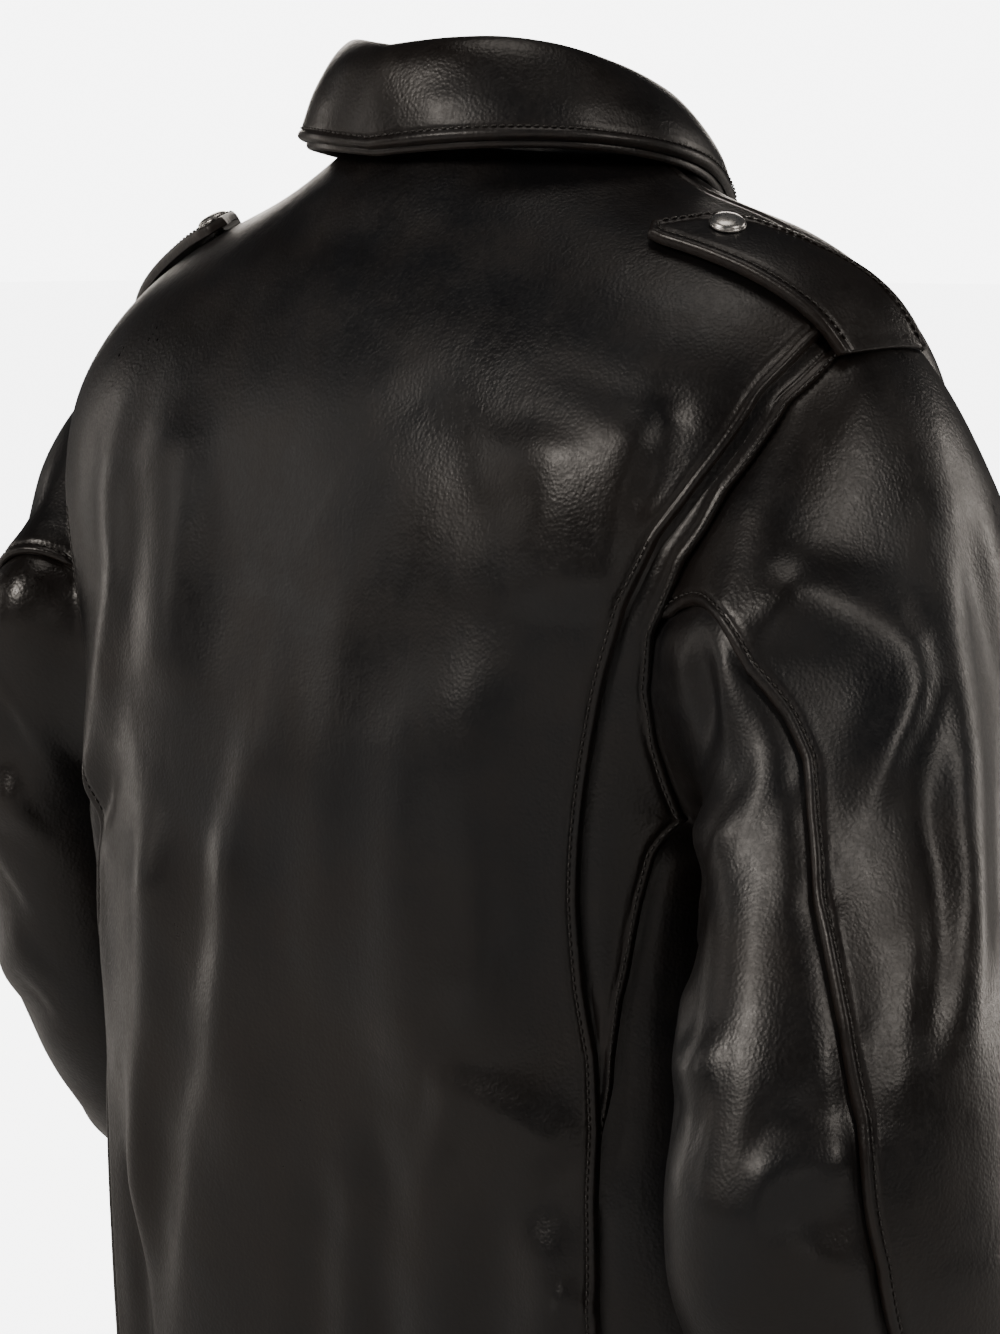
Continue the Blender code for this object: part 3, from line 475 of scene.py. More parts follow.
LEFT_FOLDS = [
    ([(98, .02), (96, .12), (92, .24), (88, .32)], .0080, .040, .040),
    ([(100, .02), (92, .10), (84, .20), (80, .30)], .0060, .016, .018),
    ([(74, .06), (66, .16), (62, .28)], -.0045, .014, .014),
    ([(50, .04), (42, .14), (36, .26), (34, .38)], .0048, .016, .016),
    ([(20, .10), (12, .22), (8, .34)], -.0032, .014, .014),
    ([(112, .14), (104, .22), (96, .30)], -.0045, .014, .014),
    ([(120, .24), (100, .30), (84, .36)], .0050, .014, .012),
    ([(110, .38), (88, .43), (66, .46)], -.0048, .010, .014),
    ([(110, .43), (88, .48), (60, .51)], .0052, .014, .010),
    ([(105, .49), (84, .53), (58, .56)], -.0045, .010, .012),
    ([(40, .44), (26, .50), (16, .56)], .0035, .012, .012),
    ([(200, .40), (180, .46), (158, .48)], -.0060, .014, .014),
    ([(205, .47), (182, .52), (158, .54)], .0060, .014, .014),
    ([(210, .54), (185, .58), (158, .60)], -.0055, .012, .012),
    ([(270, .16), (262, .28), (258, .40)], .0045, .018, .018),
    ([(305, .22), (295, .34), (288, .44)], -.0038, .014, .014),
    ([(310, .50), (285, .54), (260, .56)], .0042, .012, .012),
    ([(312, .55), (285, .59), (258, .61)], -.0036, .010, .010),
    ([(70, .64), (48, .67), (26, .69)], .0040, .012, .010),
    ([(70, .69), (48, .72), (26, .74)], -.0034, .010, .010),
    ([(100, .74), (76, .77), (52, .79)], .0036, .012, .010),
    ([(250, .70), (222, .74), (192, .76)], .0036, .012, .012),
]


def arm_relief(side, ps, s, p):
    ps = np.asarray(ps, float)
    out = np.zeros(ps.shape)
    wx = 0.0045 * value_noise(p, 0.060, 24) + 0.0016 * value_noise(p, 0.026, 25)
    wz = 0.0050 * value_noise(p, 0.070, 26)
    for turn in (0.0, 360.0):
        for pts, amp, wl, wr in (RIGHT_FOLDS if side < 0 else LEFT_FOLDS):
            low = 0.62 if min(q[1] for q in pts) > 0.30 else 1.0
            out += low * fold((ps - turn) * ARM_SCALE[0] + wx, s * ARM_SCALE[1] + wz, pts, ARM_SCALE, amp, wr * 1.15, wl * 1.15)
    out *= 1.0 + 0.35 * value_noise(p, 0.05, 27)
    q = p * np.array([1.0, 1.0, 0.6])
    out += 0.0008 * value_noise(q, 0.060, 21) + 0.00018 * value_noise(q, 0.026, 22)
    low = np.clip((s - 0.40) / 0.2, 0, 1) * np.clip((1.02 - s) / 0.15, 0, 1)
    out += low * 0.0007 * value_noise(p * np.array([0.7, 0.7, 1.4]), 0.030, 23)
    fade = np.clip((s + 0.01) / 0.05, 0, 1) * np.clip((1.0 - s) / 0.05, 0.25, 1)
    return out * fade


# ---------------------------------------------------------------- meshes
PIECES = bpy.data.collections.new("Jacket pieces")
bpy.context.scene.collection.children.link(PIECES)


def fast_mesh(name, verts, quads, tris=None, smooth=True):
    mesh = bpy.data.meshes.new(name)
    verts = np.asarray(verts, np.float32)
    quads = np.asarray(quads, np.int32).reshape(-1, 4)
    tris = np.zeros((0, 3), np.int32) if tris is None else np.asarray(tris, np.int32).reshape(-1, 3)
    mesh.vertices.add(len(verts))
    mesh.vertices.foreach_set("co", verts.ravel())
    loops = np.concatenate([quads.ravel(), tris.ravel()])
    mesh.loops.add(len(loops))
    mesh.loops.foreach_set("vertex_index", loops)
    mesh.polygons.add(len(quads) + len(tris))
    start = np.concatenate([np.arange(len(quads)) * 4, len(quads) * 4 + np.arange(len(tris)) * 3])
    mesh.polygons.foreach_set("loop_start", start.astype(np.int32))
    mesh.polygons.foreach_set("use_smooth", np.full(len(start), smooth))
    mesh.update(calc_edges=True)
    mesh.validate()
    return mesh


def piece(name, verts, quads, tris=None, mat=None, edge=None, smooth=True):
    mesh = fast_mesh(name, np.asarray(verts, float) - NAPE, quads, tris, smooth)
    obj = bpy.data.objects.new(name, mesh)
    PIECES.objects.link(obj)
    if mat is not None:
        mesh.materials.append(mat)
    if edge is not None:
        # edge mask of rubbed wear and painted rim highlight, read by the leather material
        a = mesh.attributes.new("edge_wear_and_highlight", "FLOAT", "POINT")
        a.data.foreach_set("value", np.asarray(edge, np.float32).ravel())
    return obj


def signed_volume(verts, quads):
    v = np.asarray(verts, float)
    q = np.asarray(quads)
    return sum(np.einsum("ij,ij->", v[q[:, 0]], np.cross(v[q[:, a]], v[q[:, b]])) for a, b in ((1, 2), (2, 3)))


def shell(name, outer, inner, mat, closed=False, edge=None):
    nu, nv = outer.shape[:2]
    verts = np.concatenate([outer.reshape(-1, 3), inner.reshape(-1, 3)])
    off = nu * nv
    iu = np.arange(nu if closed else nu - 1)
    jv = np.arange(nv - 1)
    I, J = np.meshgrid(iu, jv, indexing="ij")
    I2 = (I + 1) % nu
    a, b, c, d = I * nv + J, I * nv + J + 1, I2 * nv + J + 1, I2 * nv + J
    top = np.stack([a, b, c, d], -1).reshape(-1, 4)
    low = np.stack([a, d, c, b], -1).reshape(-1, 4) + off
    i2 = (iu + 1) % nu
    e0 = np.stack([iu * nv, i2 * nv, off + i2 * nv, off + iu * nv], -1)
    e1 = np.stack([i2 * nv + nv - 1, iu * nv + nv - 1, off + iu * nv + nv - 1, off + i2 * nv + nv - 1], -1)
    quads = [top, low, e0, e1]
    if not closed:
        quads.append(np.stack([jv + 1, jv, off + jv, off + jv + 1], -1))
        k = (nu - 1) * nv
        quads.append(np.stack([k + jv, k + jv + 1, off + k + jv + 1, off + k + jv], -1))
    quads = np.concatenate(quads)
    if signed_volume(verts, quads) < 0:
        quads = quads[:, ::-1]
    if edge is not None:
        edge = np.concatenate([edge.ravel(), edge.ravel()])
    return piece(name, verts, quads, None, mat, edge)


def distance_to(points, line_pts):
    """Distance from each point to a chain of points."""
    flat = points.reshape(-1, 3)
    out = np.empty(len(flat))
    a, b = line_pts[:-1], line_pts[1:]
    d = b - a
    L2 = np.maximum((d * d).sum(-1), 1e-14)
    for k in range(0, len(flat), 4000):
        q = flat[k:k + 4000, None, :] - a[None]
        u = np.clip((q * d[None]).sum(-1) / L2[None], 0, 1)
        r = q - u[..., None] * d[None]
        out[k:k + 4000] = np.sqrt((r * r).sum(-1).min(1))
    return out.reshape(points.shape[:-1])


NEAR = np.array([0, .0003, .0008, .0015, .0024, .0034, .0043, .0050, .0057, .0068, .0085, .0110, .0140])
STITCH_AT = 7          # index in NEAR of the stitch line, 5 mm from the edge
TUCK = 0.009


def edge_lift(D, kind, depth=0.0030, rise=0.0012):
    """Height of the outer face, and of the inner face above the plain one, at distance D from an edge."""
    D = np.asarray(D, float)
    if kind == "over":
        r = 0.0026
        curl = 1 - np.sqrt(np.clip(1 - (1 - np.minimum(D, r) / r) ** 2, 0, 1))
        base = rise * np.exp(-(np.maximum(D - 0.004, 0) / 0.012) ** 2)
        groove = -0.00080 * np.exp(-((D - 0.0050) / 0.0008) ** 2)
        puff = 0.00050 * np.exp(-((D - 0.0026) / 0.0016) ** 2) + 0.00035 * np.exp(-((D - 0.0078) / 0.0022) ** 2)
        return base + groove + puff - depth * curl, base
    if kind == "fold":
        r = 0.0018
        curl = 1 - np.sqrt(np.clip(1 - (1 - np.minimum(D, r) / r) ** 2, 0, 1))
        groove = -0.00070 * np.exp(-((D - 0.0050) / 0.0008) ** 2)
        puff = 0.00030 * np.exp(-((D - 0.0026) / 0.0016) ** 2)
        return groove + puff - depth * curl, 0 * D
    if kind == "under":
        sink = -0.0030 * (1 - np.clip((D - TUCK - 0.001) / 0.012, 0, 1)) ** 2
        return sink, sink
    if kind == "seam":
        v = -0.0010 * np.exp(-(D / 0.0016) ** 2)
        return v, 0 * D
    return 0 * D, 0 * D


def unit(v):
    return v / np.maximum(np.linalg.norm(v, axis=-1, keepdims=True), 1e-12)


def spaced(length, near_a, near_b, step):
    """Positions 0..length, close together near an end that has an edge."""
    a = NEAR if near_a else np.array([0.0])
    b = NEAR if near_b else np.array([0.0])
    lo, hi = a[-1], length - b[-1]
    n = max(2, int(round((hi - lo) / step)))
    return np.concatenate([a, np.linspace(lo, hi, n + 1)[1:-1], (length - b)[::-1]])


def leather_panel(name, surface, lo, hi, t0, t1, mat, left="seam", right="seam", top=None, bottom=None, step=0.0032,
                  thick=0.0024, lift=0.0, relief=None, flip=False, fix=None, per_degree=0.0034, depth=None, tuck_t=0.0):
    """Leather laid on a surface between two lines, with its edges finished as named."""
    tt = np.linspace(t0, t1, 400)
    mid = (np.asarray(lo(tt), float) + np.asarray(hi(tt), float)) / 2
    path = surface(mid, tt)
    run = np.concatenate([[0], np.cumsum(np.linalg.norm(np.diff(path, axis=0), axis=1))])
    ts = np.interp(spaced(run[-1], top is not None, bottom is not None, step), run, tt)
    a, b = np.asarray(lo(ts), float), np.asarray(hi(ts), float)
    # real width of every row
    k = np.linspace(0, 1, 60)
    row = surface(a[None] + (b - a)[None] * k[:, None], np.broadcast_to(ts[None], (60, len(ts))))
    arc = np.concatenate([np.zeros((1, len(ts))), np.cumsum(np.linalg.norm(np.diff(row, axis=0), axis=2), axis=0)])
    wide = arc[-1]
    n = max(2, int(round(wide.max() / step)))
    near = NEAR
    cols = []
    for j in range(len(ts)):
        w = wide[j]
        scale = min(1.0, 0.42 * w / near[-1])
        e = near * scale
        m = np.linspace(e[-1], w - e[-1], n + 1)[1:-1]
        d = np.concatenate([e, m, (w - e)[::-1]])
        cols.append(np.interp(d, arc[:, j], k))
    k = np.stack(cols, 1)
    u = a[None] + (b - a)[None] * k
    # tucked edges run on beneath their neighbour
    if left == "under":
        extra = TUCK / per_degree * np.clip(1 - k * wide[None] / 0.02, 0, 1) ** 1.0
        u = u - extra * np.sign(b - a)[None]
    if right == "under":
        extra = TUCK / per_degree * np.clip(1 - (1 - k) * wide[None] / 0.02, 0, 1) ** 1.0
        u = u + extra * np.sign(b - a)[None]
    v = np.broadcast_to(ts[None], u.shape)
    p = surface(u, v)
    nrm = unit(normals(surface, u, v, flip=flip))
    up = np.zeros(u.shape) + lift
    low = np.zeros(u.shape) + lift
    # mask of lightened edges for the leather material: rubbed wear plus a painted highlight on rolled rims and a
    # painted band along the stitch line
    wear_and_highlight = np.zeros(u.shape)
    sides = (("left", left, p[0]), ("right", right, p[-1]), ("top", top, p[:, 0]), ("bottom", bottom, p[:, -1]))
    for where, kind, chain in sides:
        if kind in (None, "plain"):
            continue
        D = distance_to(p, chain)
        if depth is not None and kind == "over":
            o, i = edge_lift(D, kind, depth=depth)
        else:
            o, i = edge_lift(D, kind)
        up, low = up + o, low + i
        if kind in ("over", "fold"):
            wear_and_highlight = np.maximum(wear_and_highlight, np.exp(-(D / 0.0022) ** 2))
        if kind in ("over", "fold", "seam"):
            wear_and_highlight = np.maximum(wear_and_highlight, 0.35 * np.exp(-((D - 0.005) / 0.003) ** 2))
    if relief is not None:
        r = relief(u, v, p)
        up, low = up + r, low + r
    outer = p + nrm * up[..., None]
    inner = p + nrm * (np.minimum(low - thick, up - 0.0006))[..., None]
    if fix:
        outer, inner = fix(outer), fix(inner)
    obj = shell(name, outer, inner, mat, edge=wear_and_highlight)
    info = {"outer": outer, "normal": nrm, "u": u, "v": v, "n": len(near)}
    return obj, info


# ---------------------------------------------------------------- stitching
def capsule(length, radius, seg=6):
    """A stitch lying along x: a rounded bar whose ends go down into the leather."""
    xs = np.array([-0.5, -0.42, -0.22, 0.0, 0.22, 0.42, 0.5]) * length
    rs = np.array([0.30, 0.80, 1.0, 1.0, 1.0, 0.80, 0.30]) * radius
    zs = np.array([-1.3, -0.35, 0.25, 0.35, 0.25, -0.35, -1.3]) * radius
    a = np.arange(seg) / seg * 2 * np.pi
    v = np.stack([np.repeat(xs, seg), (rs[:, None] * np.cos(a)).ravel(), (zs[:, None] + rs[:, None] * np.sin(a)).ravel()], -1)
    q = []
    for i in range(len(xs) - 1):
        for k in range(seg):
            k2 = (k + 1) % seg
            q.append((i * seg + k, i * seg + k2, (i + 1) * seg + k2, (i + 1) * seg + k))
    n = len(xs)
    tri = []
    for k in range(1, seg - 1):
        tri.append((0, k + 1, k))
        tri.append(((n - 1) * seg, (n - 1) * seg + k, (n - 1) * seg + k + 1))
    return v, np.array(q), np.array(tri)


THREAD = {}


def stitch_line(key, path, normal, pitch=0.0038, length=0.0029, radius=0.00048, sink=0.0):
    """Adds a row of stitches along a path to the batch named key."""
    path, normal = np.asarray(path, float), unit(np.asarray(normal, float))
    run = np.concatenate([[0], np.cumsum(np.linalg.norm(np.diff(path, axis=0), axis=1))])
    if run[-1] < 2 * pitch:
        return
    s = np.arange(pitch / 2, run[-1], pitch)
    c = np.stack([np.interp(s, run, path[:, k]) for k in range(3)], -1)
    n = unit(np.stack([np.interp(s, run, normal[:, k]) for k in range(3)], -1))
    ahead = np.stack([np.interp(s + 0.001, run, path[:, k]) for k in range(3)], -1)
    back = np.stack([np.interp(s - 0.001, run, path[:, k]) for k in range(3)], -1)
    x = unit(ahead - back)
    n = unit(n - x * (n * x).sum(-1, keepdims=True))
    y = np.cross(n, x)
    v, q, t = capsule(length, radius)
    V = c[:, None] + x[:, None] * v[None, :, 0:1] + y[:, None] * v[None, :, 1:2] + n[:, None] * (v[None, :, 2:3] + sink)
    THREAD.setdefault(key, []).append((V.reshape(-1, 3), q, t, len(c), len(v)))


def finish_thread(key, name, mat):
    verts, quads, tris, off = [], [], [], 0
    for V, q, t, n, m in THREAD.get(key, []):
        base = (np.arange(n) * m)[:, None, None] + off
        verts.append(V)
        quads.append((q[None] + base).reshape(-1, 4))
        tris.append((t[None] + base).reshape(-1, 3))
        off += len(V)
    return piece(name, np.concatenate(verts), np.concatenate(quads), np.concatenate(tris), mat)


def stitched(key, info, where="right", at=STITCH_AT, rng=None, sink=0.0004):
    """Stitches along the marked column or row of a panel."""
    o, n = info["outer"], info["normal"]
    if where == "left":
        P, N = o[at], n[at]
    elif where == "right":
        P, N = o[-1 - at], n[-1 - at]
    elif where == "top":
        P, N = o[:, at], n[:, at]
    else:
        P, N = o[:, -1 - at], n[:, -1 - at]
    if rng is not None:
        m = max(0, int(rng[0] * len(P)))
        P, N = P[m:int(rng[1] * len(P))], N[m:int(rng[1] * len(P))]
    stitch_line(key, P, N, sink=sink)


# ---------------------------------------------------------------- materials
def new_material(name):
    m = bpy.data.materials.new(name)
    m.use_nodes = True
    nt = m.node_tree
    return m, nt, nt.nodes["Principled BSDF"]


def node(nt, kind, **values):
    n = nt.nodes.new(kind)
    for key, value in values.items():
        if hasattr(n, key) and key not in n.inputs:
            setattr(n, key, value)
        else:
            n.inputs[key].default_value = value
    return n


def coords(nt, stretch=(1, 1, 1)):
    tc = node(nt, "ShaderNodeTexCoord")
    mp = node(nt, "ShaderNodeMapping")
    mp.inputs["Scale"].default_value = stretch
    nt.links.new(tc.outputs["Object"], mp.inputs["Vector"])
    return mp.outputs["Vector"]


def noise(nt, vec, scale, detail=3.0, rough=0.55, distortion=0.0):
    n = nt.nodes.new("ShaderNodeTexNoise")
    n.inputs["Scale"].default_value = scale
    n.inputs["Detail"].default_value = detail
    n.inputs["Roughness"].default_value = rough
    n.inputs["Distortion"].default_value = distortion
    nt.links.new(vec, n.inputs["Vector"])
    return n.outputs["Fac"]


def remap(nt, fac, a, b, lo, hi):
    r = nt.nodes.new("ShaderNodeMapRange")
    r.inputs["From Min"].default_value, r.inputs["From Max"].default_value = a, b
    r.inputs["To Min"].default_value, r.inputs["To Max"].default_value = lo, hi
    nt.links.new(fac, r.inputs["Value"])
    return r.outputs["Result"]


def mix_colour(nt, fac, a, b):
    m = nt.nodes.new("ShaderNodeMix")
    m.data_type = "RGBA"
    for sock, v in ((m.inputs[6], a), (m.inputs[7], b)):
        if isinstance(v, tuple):
            sock.default_value = (*v, 1.0) if len(v) == 3 else v
        else:
            nt.links.new(v, sock)
    if isinstance(fac, float):
        m.inputs[0].default_value = fac
    else:
        nt.links.new(fac, m.inputs[0])
    return m.outputs[2]


def maths(nt, op, a, b):
    m = nt.nodes.new("ShaderNodeMath")
    m.operation = op
    for sock, v in ((m.inputs[0], a), (m.inputs[1], b)):
        if isinstance(v, (int, float)):
            sock.default_value = v
        else:
            nt.links.new(v, sock)
    return m.outputs[0]


def bump(nt, height, distance, strength=1.0, normal=None):
    b = nt.nodes.new("ShaderNodeBump")
    b.inputs["Strength"].default_value = strength
    b.inputs["Distance"].default_value = distance
    nt.links.new(height, b.inputs["Height"])
    if normal is not None:
        nt.links.new(normal, b.inputs["Normal"])
    return b.outputs["Normal"]


def leather(name, warm=(0.0105, 0.0080, 0.0068), cool=(0.0068, 0.0074, 0.0094), rough=(0.31, 0.48), grain=1.0, rubbed_and_lit_colour=(0.030, 0.020, 0.015)):
    m, nt, b = new_material(name)
    v = coords(nt)
    slow = noise(nt, v, 7.0, 3.0, 0.6, 0.4)
    mid = noise(nt, v, 26.0, 4.0, 0.6)
    fine = noise(nt, v, 420.0, 3.0, 0.6)
    # colour: warm black and blue black in slow patches, with lightened edges: partly rubbed wear, partly a painted
    # highlight along the rims and stitch lines
    base = mix_colour(nt, remap(nt, slow, 0.38, 0.62, 0.0, 1.0), warm, cool)
    base = mix_colour(nt, remap(nt, mid, 0.45, 0.75, 0.0, 0.55), base, tuple(1.7 * c for c in warm))
    # the edge mask mixes a pale brown in at rolled rims and stitch grooves: rubbed wear and a painted rim highlight
    # together
    at = nt.nodes.new("ShaderNodeAttribute")
    at.attribute_name = "edge_wear_and_highlight"
    rub_and_highlight_mask = maths(nt, "MULTIPLY", at.outputs["Fac"], remap(nt, noise(nt, v, 90.0, 3.0), 0.35, 0.70, 0.25, 1.0))
    base = mix_colour(nt, maths(nt, "MULTIPLY", rub_and_highlight_mask, 0.65), base, rubbed_and_lit_colour)
    nt.links.new(base, b.inputs["Base Color"])
    # gloss: polished and duller patches, a little breakup from the grain
    r = remap(nt, mid, 0.30, 0.72, rough[0], rough[1])
    r = maths(nt, "ADD", r, remap(nt, slow, 0.35, 0.65, -0.035, 0.035))
    r = maths(nt, "ADD", r, remap(nt, fine, 0.35, 0.65, -0.035, 0.045))
    nt.links.new(r, b.inputs["Roughness"])
    b.inputs["Specular IOR Level"].default_value = 0.55
    b.inputs["Coat Weight"].default_value = 0.09
    b.inputs["Coat Roughness"].default_value = 0.22
    # grain: small cells, pores and drawn wrinkles
    vor = nt.nodes.new("ShaderNodeTexVoronoi")
    vor.feature = "SMOOTH_F1"
    vor.inputs["Scale"].default_value = 640.0
    vor.inputs["Smoothness"].default_value = 0.6
    nt.links.new(v, vor.inputs["Vector"])
    cells = bump(nt, vor.outputs["Distance"], 0.00040 * grain, 0.30)
    pores = bump(nt, fine, 0.00022 * grain, 0.22, cells)
    crack = noise(nt, coords(nt, (1.0, 1.0, 0.35)), 120.0, 4.0, 0.62, 0.8)
    drawn = bump(nt, crack, 0.0009 * grain, 0.22, pores)
    soft = bump(nt, noise(nt, v, 30.0, 2.0, 0.45), 0.0022, 0.20, drawn)
    nt.links.new(soft, b.inputs["Normal"])
    return m


def cloth(name, colour, rough, pitch, depth=0.0003, sheen=0.0, twill=True):
    m, nt, b = new_material(name)
    v = coords(nt)
    w = nt.nodes.new("ShaderNodeTexWave")
    w.wave_type, w.bands_direction = "BANDS", "DIAGONAL" if twill else "Z"
    w.inputs["Scale"].default_value = 1.0 / pitch / 6.3
    w.inputs["Distortion"].default_value = 0.6
    w.inputs["Detail"].default_value = 1.0
    nt.links.new(v, w.inputs["Vector"])
    patch = noise(nt, v, 40.0, 3.0)
    col = mix_colour(nt, remap(nt, patch, 0.3, 0.7, 0.0, 1.0), tuple(0.75 * c for c in colour), tuple(1.25 * c for c in colour))
    col = mix_colour(nt, maths(nt, "MULTIPLY", w.outputs["Fac"], 0.35), col, tuple(0.5 * c for c in colour))
    nt.links.new(col, b.inputs["Base Color"])
    nt.links.new(remap(nt, patch, 0.3, 0.7, rough - 0.06, rough + 0.06), b.inputs["Roughness"])
    b.inputs["Sheen Weight"].default_value = sheen
    nt.links.new(bump(nt, w.outputs["Fac"], depth, 0.6, bump(nt, noise(nt, v, 300.0, 2.0), 0.0003, 0.3)), b.inputs["Normal"])
    return m


def metal(name, colour, rough, scratch=1.0, scale=300.0):
    m, nt, b = new_material(name)
    v = coords(nt)
    patch = noise(nt, v, 120.0, 4.0, 0.6)
    lines = noise(nt, coords(nt, (1.0, 1.0, 0.08)), scale * 3, 2.0, 0.5)
    col = mix_colour(nt, remap(nt, patch, 0.35, 0.70, 0.0, 1.0), colour, tuple(0.72 * c for c in colour))
    nt.links.new(col, b.inputs["Base Color"])
    b.inputs["Metallic"].default_value = 1.0
    r = maths(nt, "ADD", remap(nt, patch, 0.3, 0.7, rough, rough + 0.12), remap(nt, lines, 0.3, 0.7, -0.02 * scratch, 0.05 * scratch))
    nt.links.new(r, b.inputs["Roughness"])
    nt.links.new(bump(nt, lines, 0.00010, 0.25 * scratch), b.inputs["Normal"])
    return m


LEATHER = leather("leather_black")
LEATHER_TRIM = leather("leather_trim", rough=(0.32, 0.46), grain=0.8)
LEATHER_IN = leather("leather_facing", warm=(0.013, 0.010, 0.0085), cool=(0.010, 0.010, 0.011), rough=(0.36, 0.52), grain=0.7)
THREAD_MAT = cloth("thread_black", (0.046, 0.043, 0.041), 0.38, 0.0006, 0.0001)
LINING_MAT = cloth("lining_satin", (0.016, 0.014, 0.015), 0.36, 0.0009, 0.0002, 0.05)
TAPE_MAT = cloth("zip_tape", (0.010, 0.010, 0.011), 0.72, 0.0008, 0.0003, 0.0, False)
NICKEL = metal("nickel", (0.86, 0.84, 0.81), 0.22)
TEETH = metal("zip_teeth", (0.66, 0.64, 0.61), 0.20)


# ---------------------------------------------------------------- torso
def join_inside(grow):
    def fix(p):
        f = split_x(p) + grow
        p = p.copy()
        p[..., 0] = np.clip(p[..., 0], -f, f)
        return p
    return fix


inside = join_inside(-0.0006)

obj, info = leather_panel("back_panel_leather", body, lambda t: -back_edge(t), back_edge, 0.0, 1.0, LEATHER, left="over", right="over",
                          top="plain", bottom="fold", step=0.0030, relief=lambda u, v, p: body_relief(u, p), fix=inside, depth=0.0040)
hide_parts("back_panel"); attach(obj, "jacket_body")
for where in ("left", "right"):
    stitched("body", info, where, rng=(0.33, 1.0))
stitched("body", info, "bottom")

for side, tag in ((1, "right"), (-1, "left")):
    t_lo, t_hi = 0.303, 0.795
    obj, info = leather_panel("gusset_%s_leather" % tag, body, (lambda s: lambda t: s * back_edge(t))(side), (lambda s: lambda t: s * gusset_outer(t))(side),
                              t_lo, t_hi, LEATHER, left="under", right="over", step=0.0026, relief=lambda u, v, p: body_relief(u, p), fix=inside, lift=-0.0004, depth=0.0036)
    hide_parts("gusset_" + tag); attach(obj, "jacket_body")
    stitched("body", info, "right")

for side, tag in ((1, "right"), (-1, "left")):
    if side > 0:
        lo, hi, l, r = front_outer, right_inner, "under", "fold"
    else:
        lo, hi, l, r = left_inner, lambda t: 360.0 - front_outer(t), "fold", "under"
    obj, info = leather_panel("front_%s_leather" % tag, body, lo, hi, 0.0, 1.0, LEATHER, left=l, right=r, top="plain", bottom="fold", step=0.0034,
                              relief=lambda u, v, p: body_relief(u, p), fix=inside)
    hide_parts("front_panel_" + tag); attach(obj, "jacket_body")
    stitched("body", info, "right" if side > 0 else "left")
    stitched("body", info, "bottom")

for name, lo, hi in (("lining_back", const(-41), const(41)), ("lining_front_right", const(118), lambda t: right_inner(t) - 3), ("lining_front_left", lambda t: left_inner(t) + 3, const(242))):
    def quilt(u, v, p):
        g = np.abs(np.sin(np.pi * (u * 0.0034 + p[..., 2]) / 0.05)) * np.abs(np.sin(np.pi * (u * 0.0034 - p[..., 2]) / 0.05))
        return 0.0012 * g ** 0.5 - 0.0010 + 0.0008 * value_noise(p, 0.03, 31)
    obj, info = leather_panel(name + "_quilt", body, lo, hi, 0.03, 0.96, LINING_MAT, step=0.0050, thick=0.0010, lift=-LINING_INSET, relief=quilt)
    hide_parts(name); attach(obj, "jacket_body")

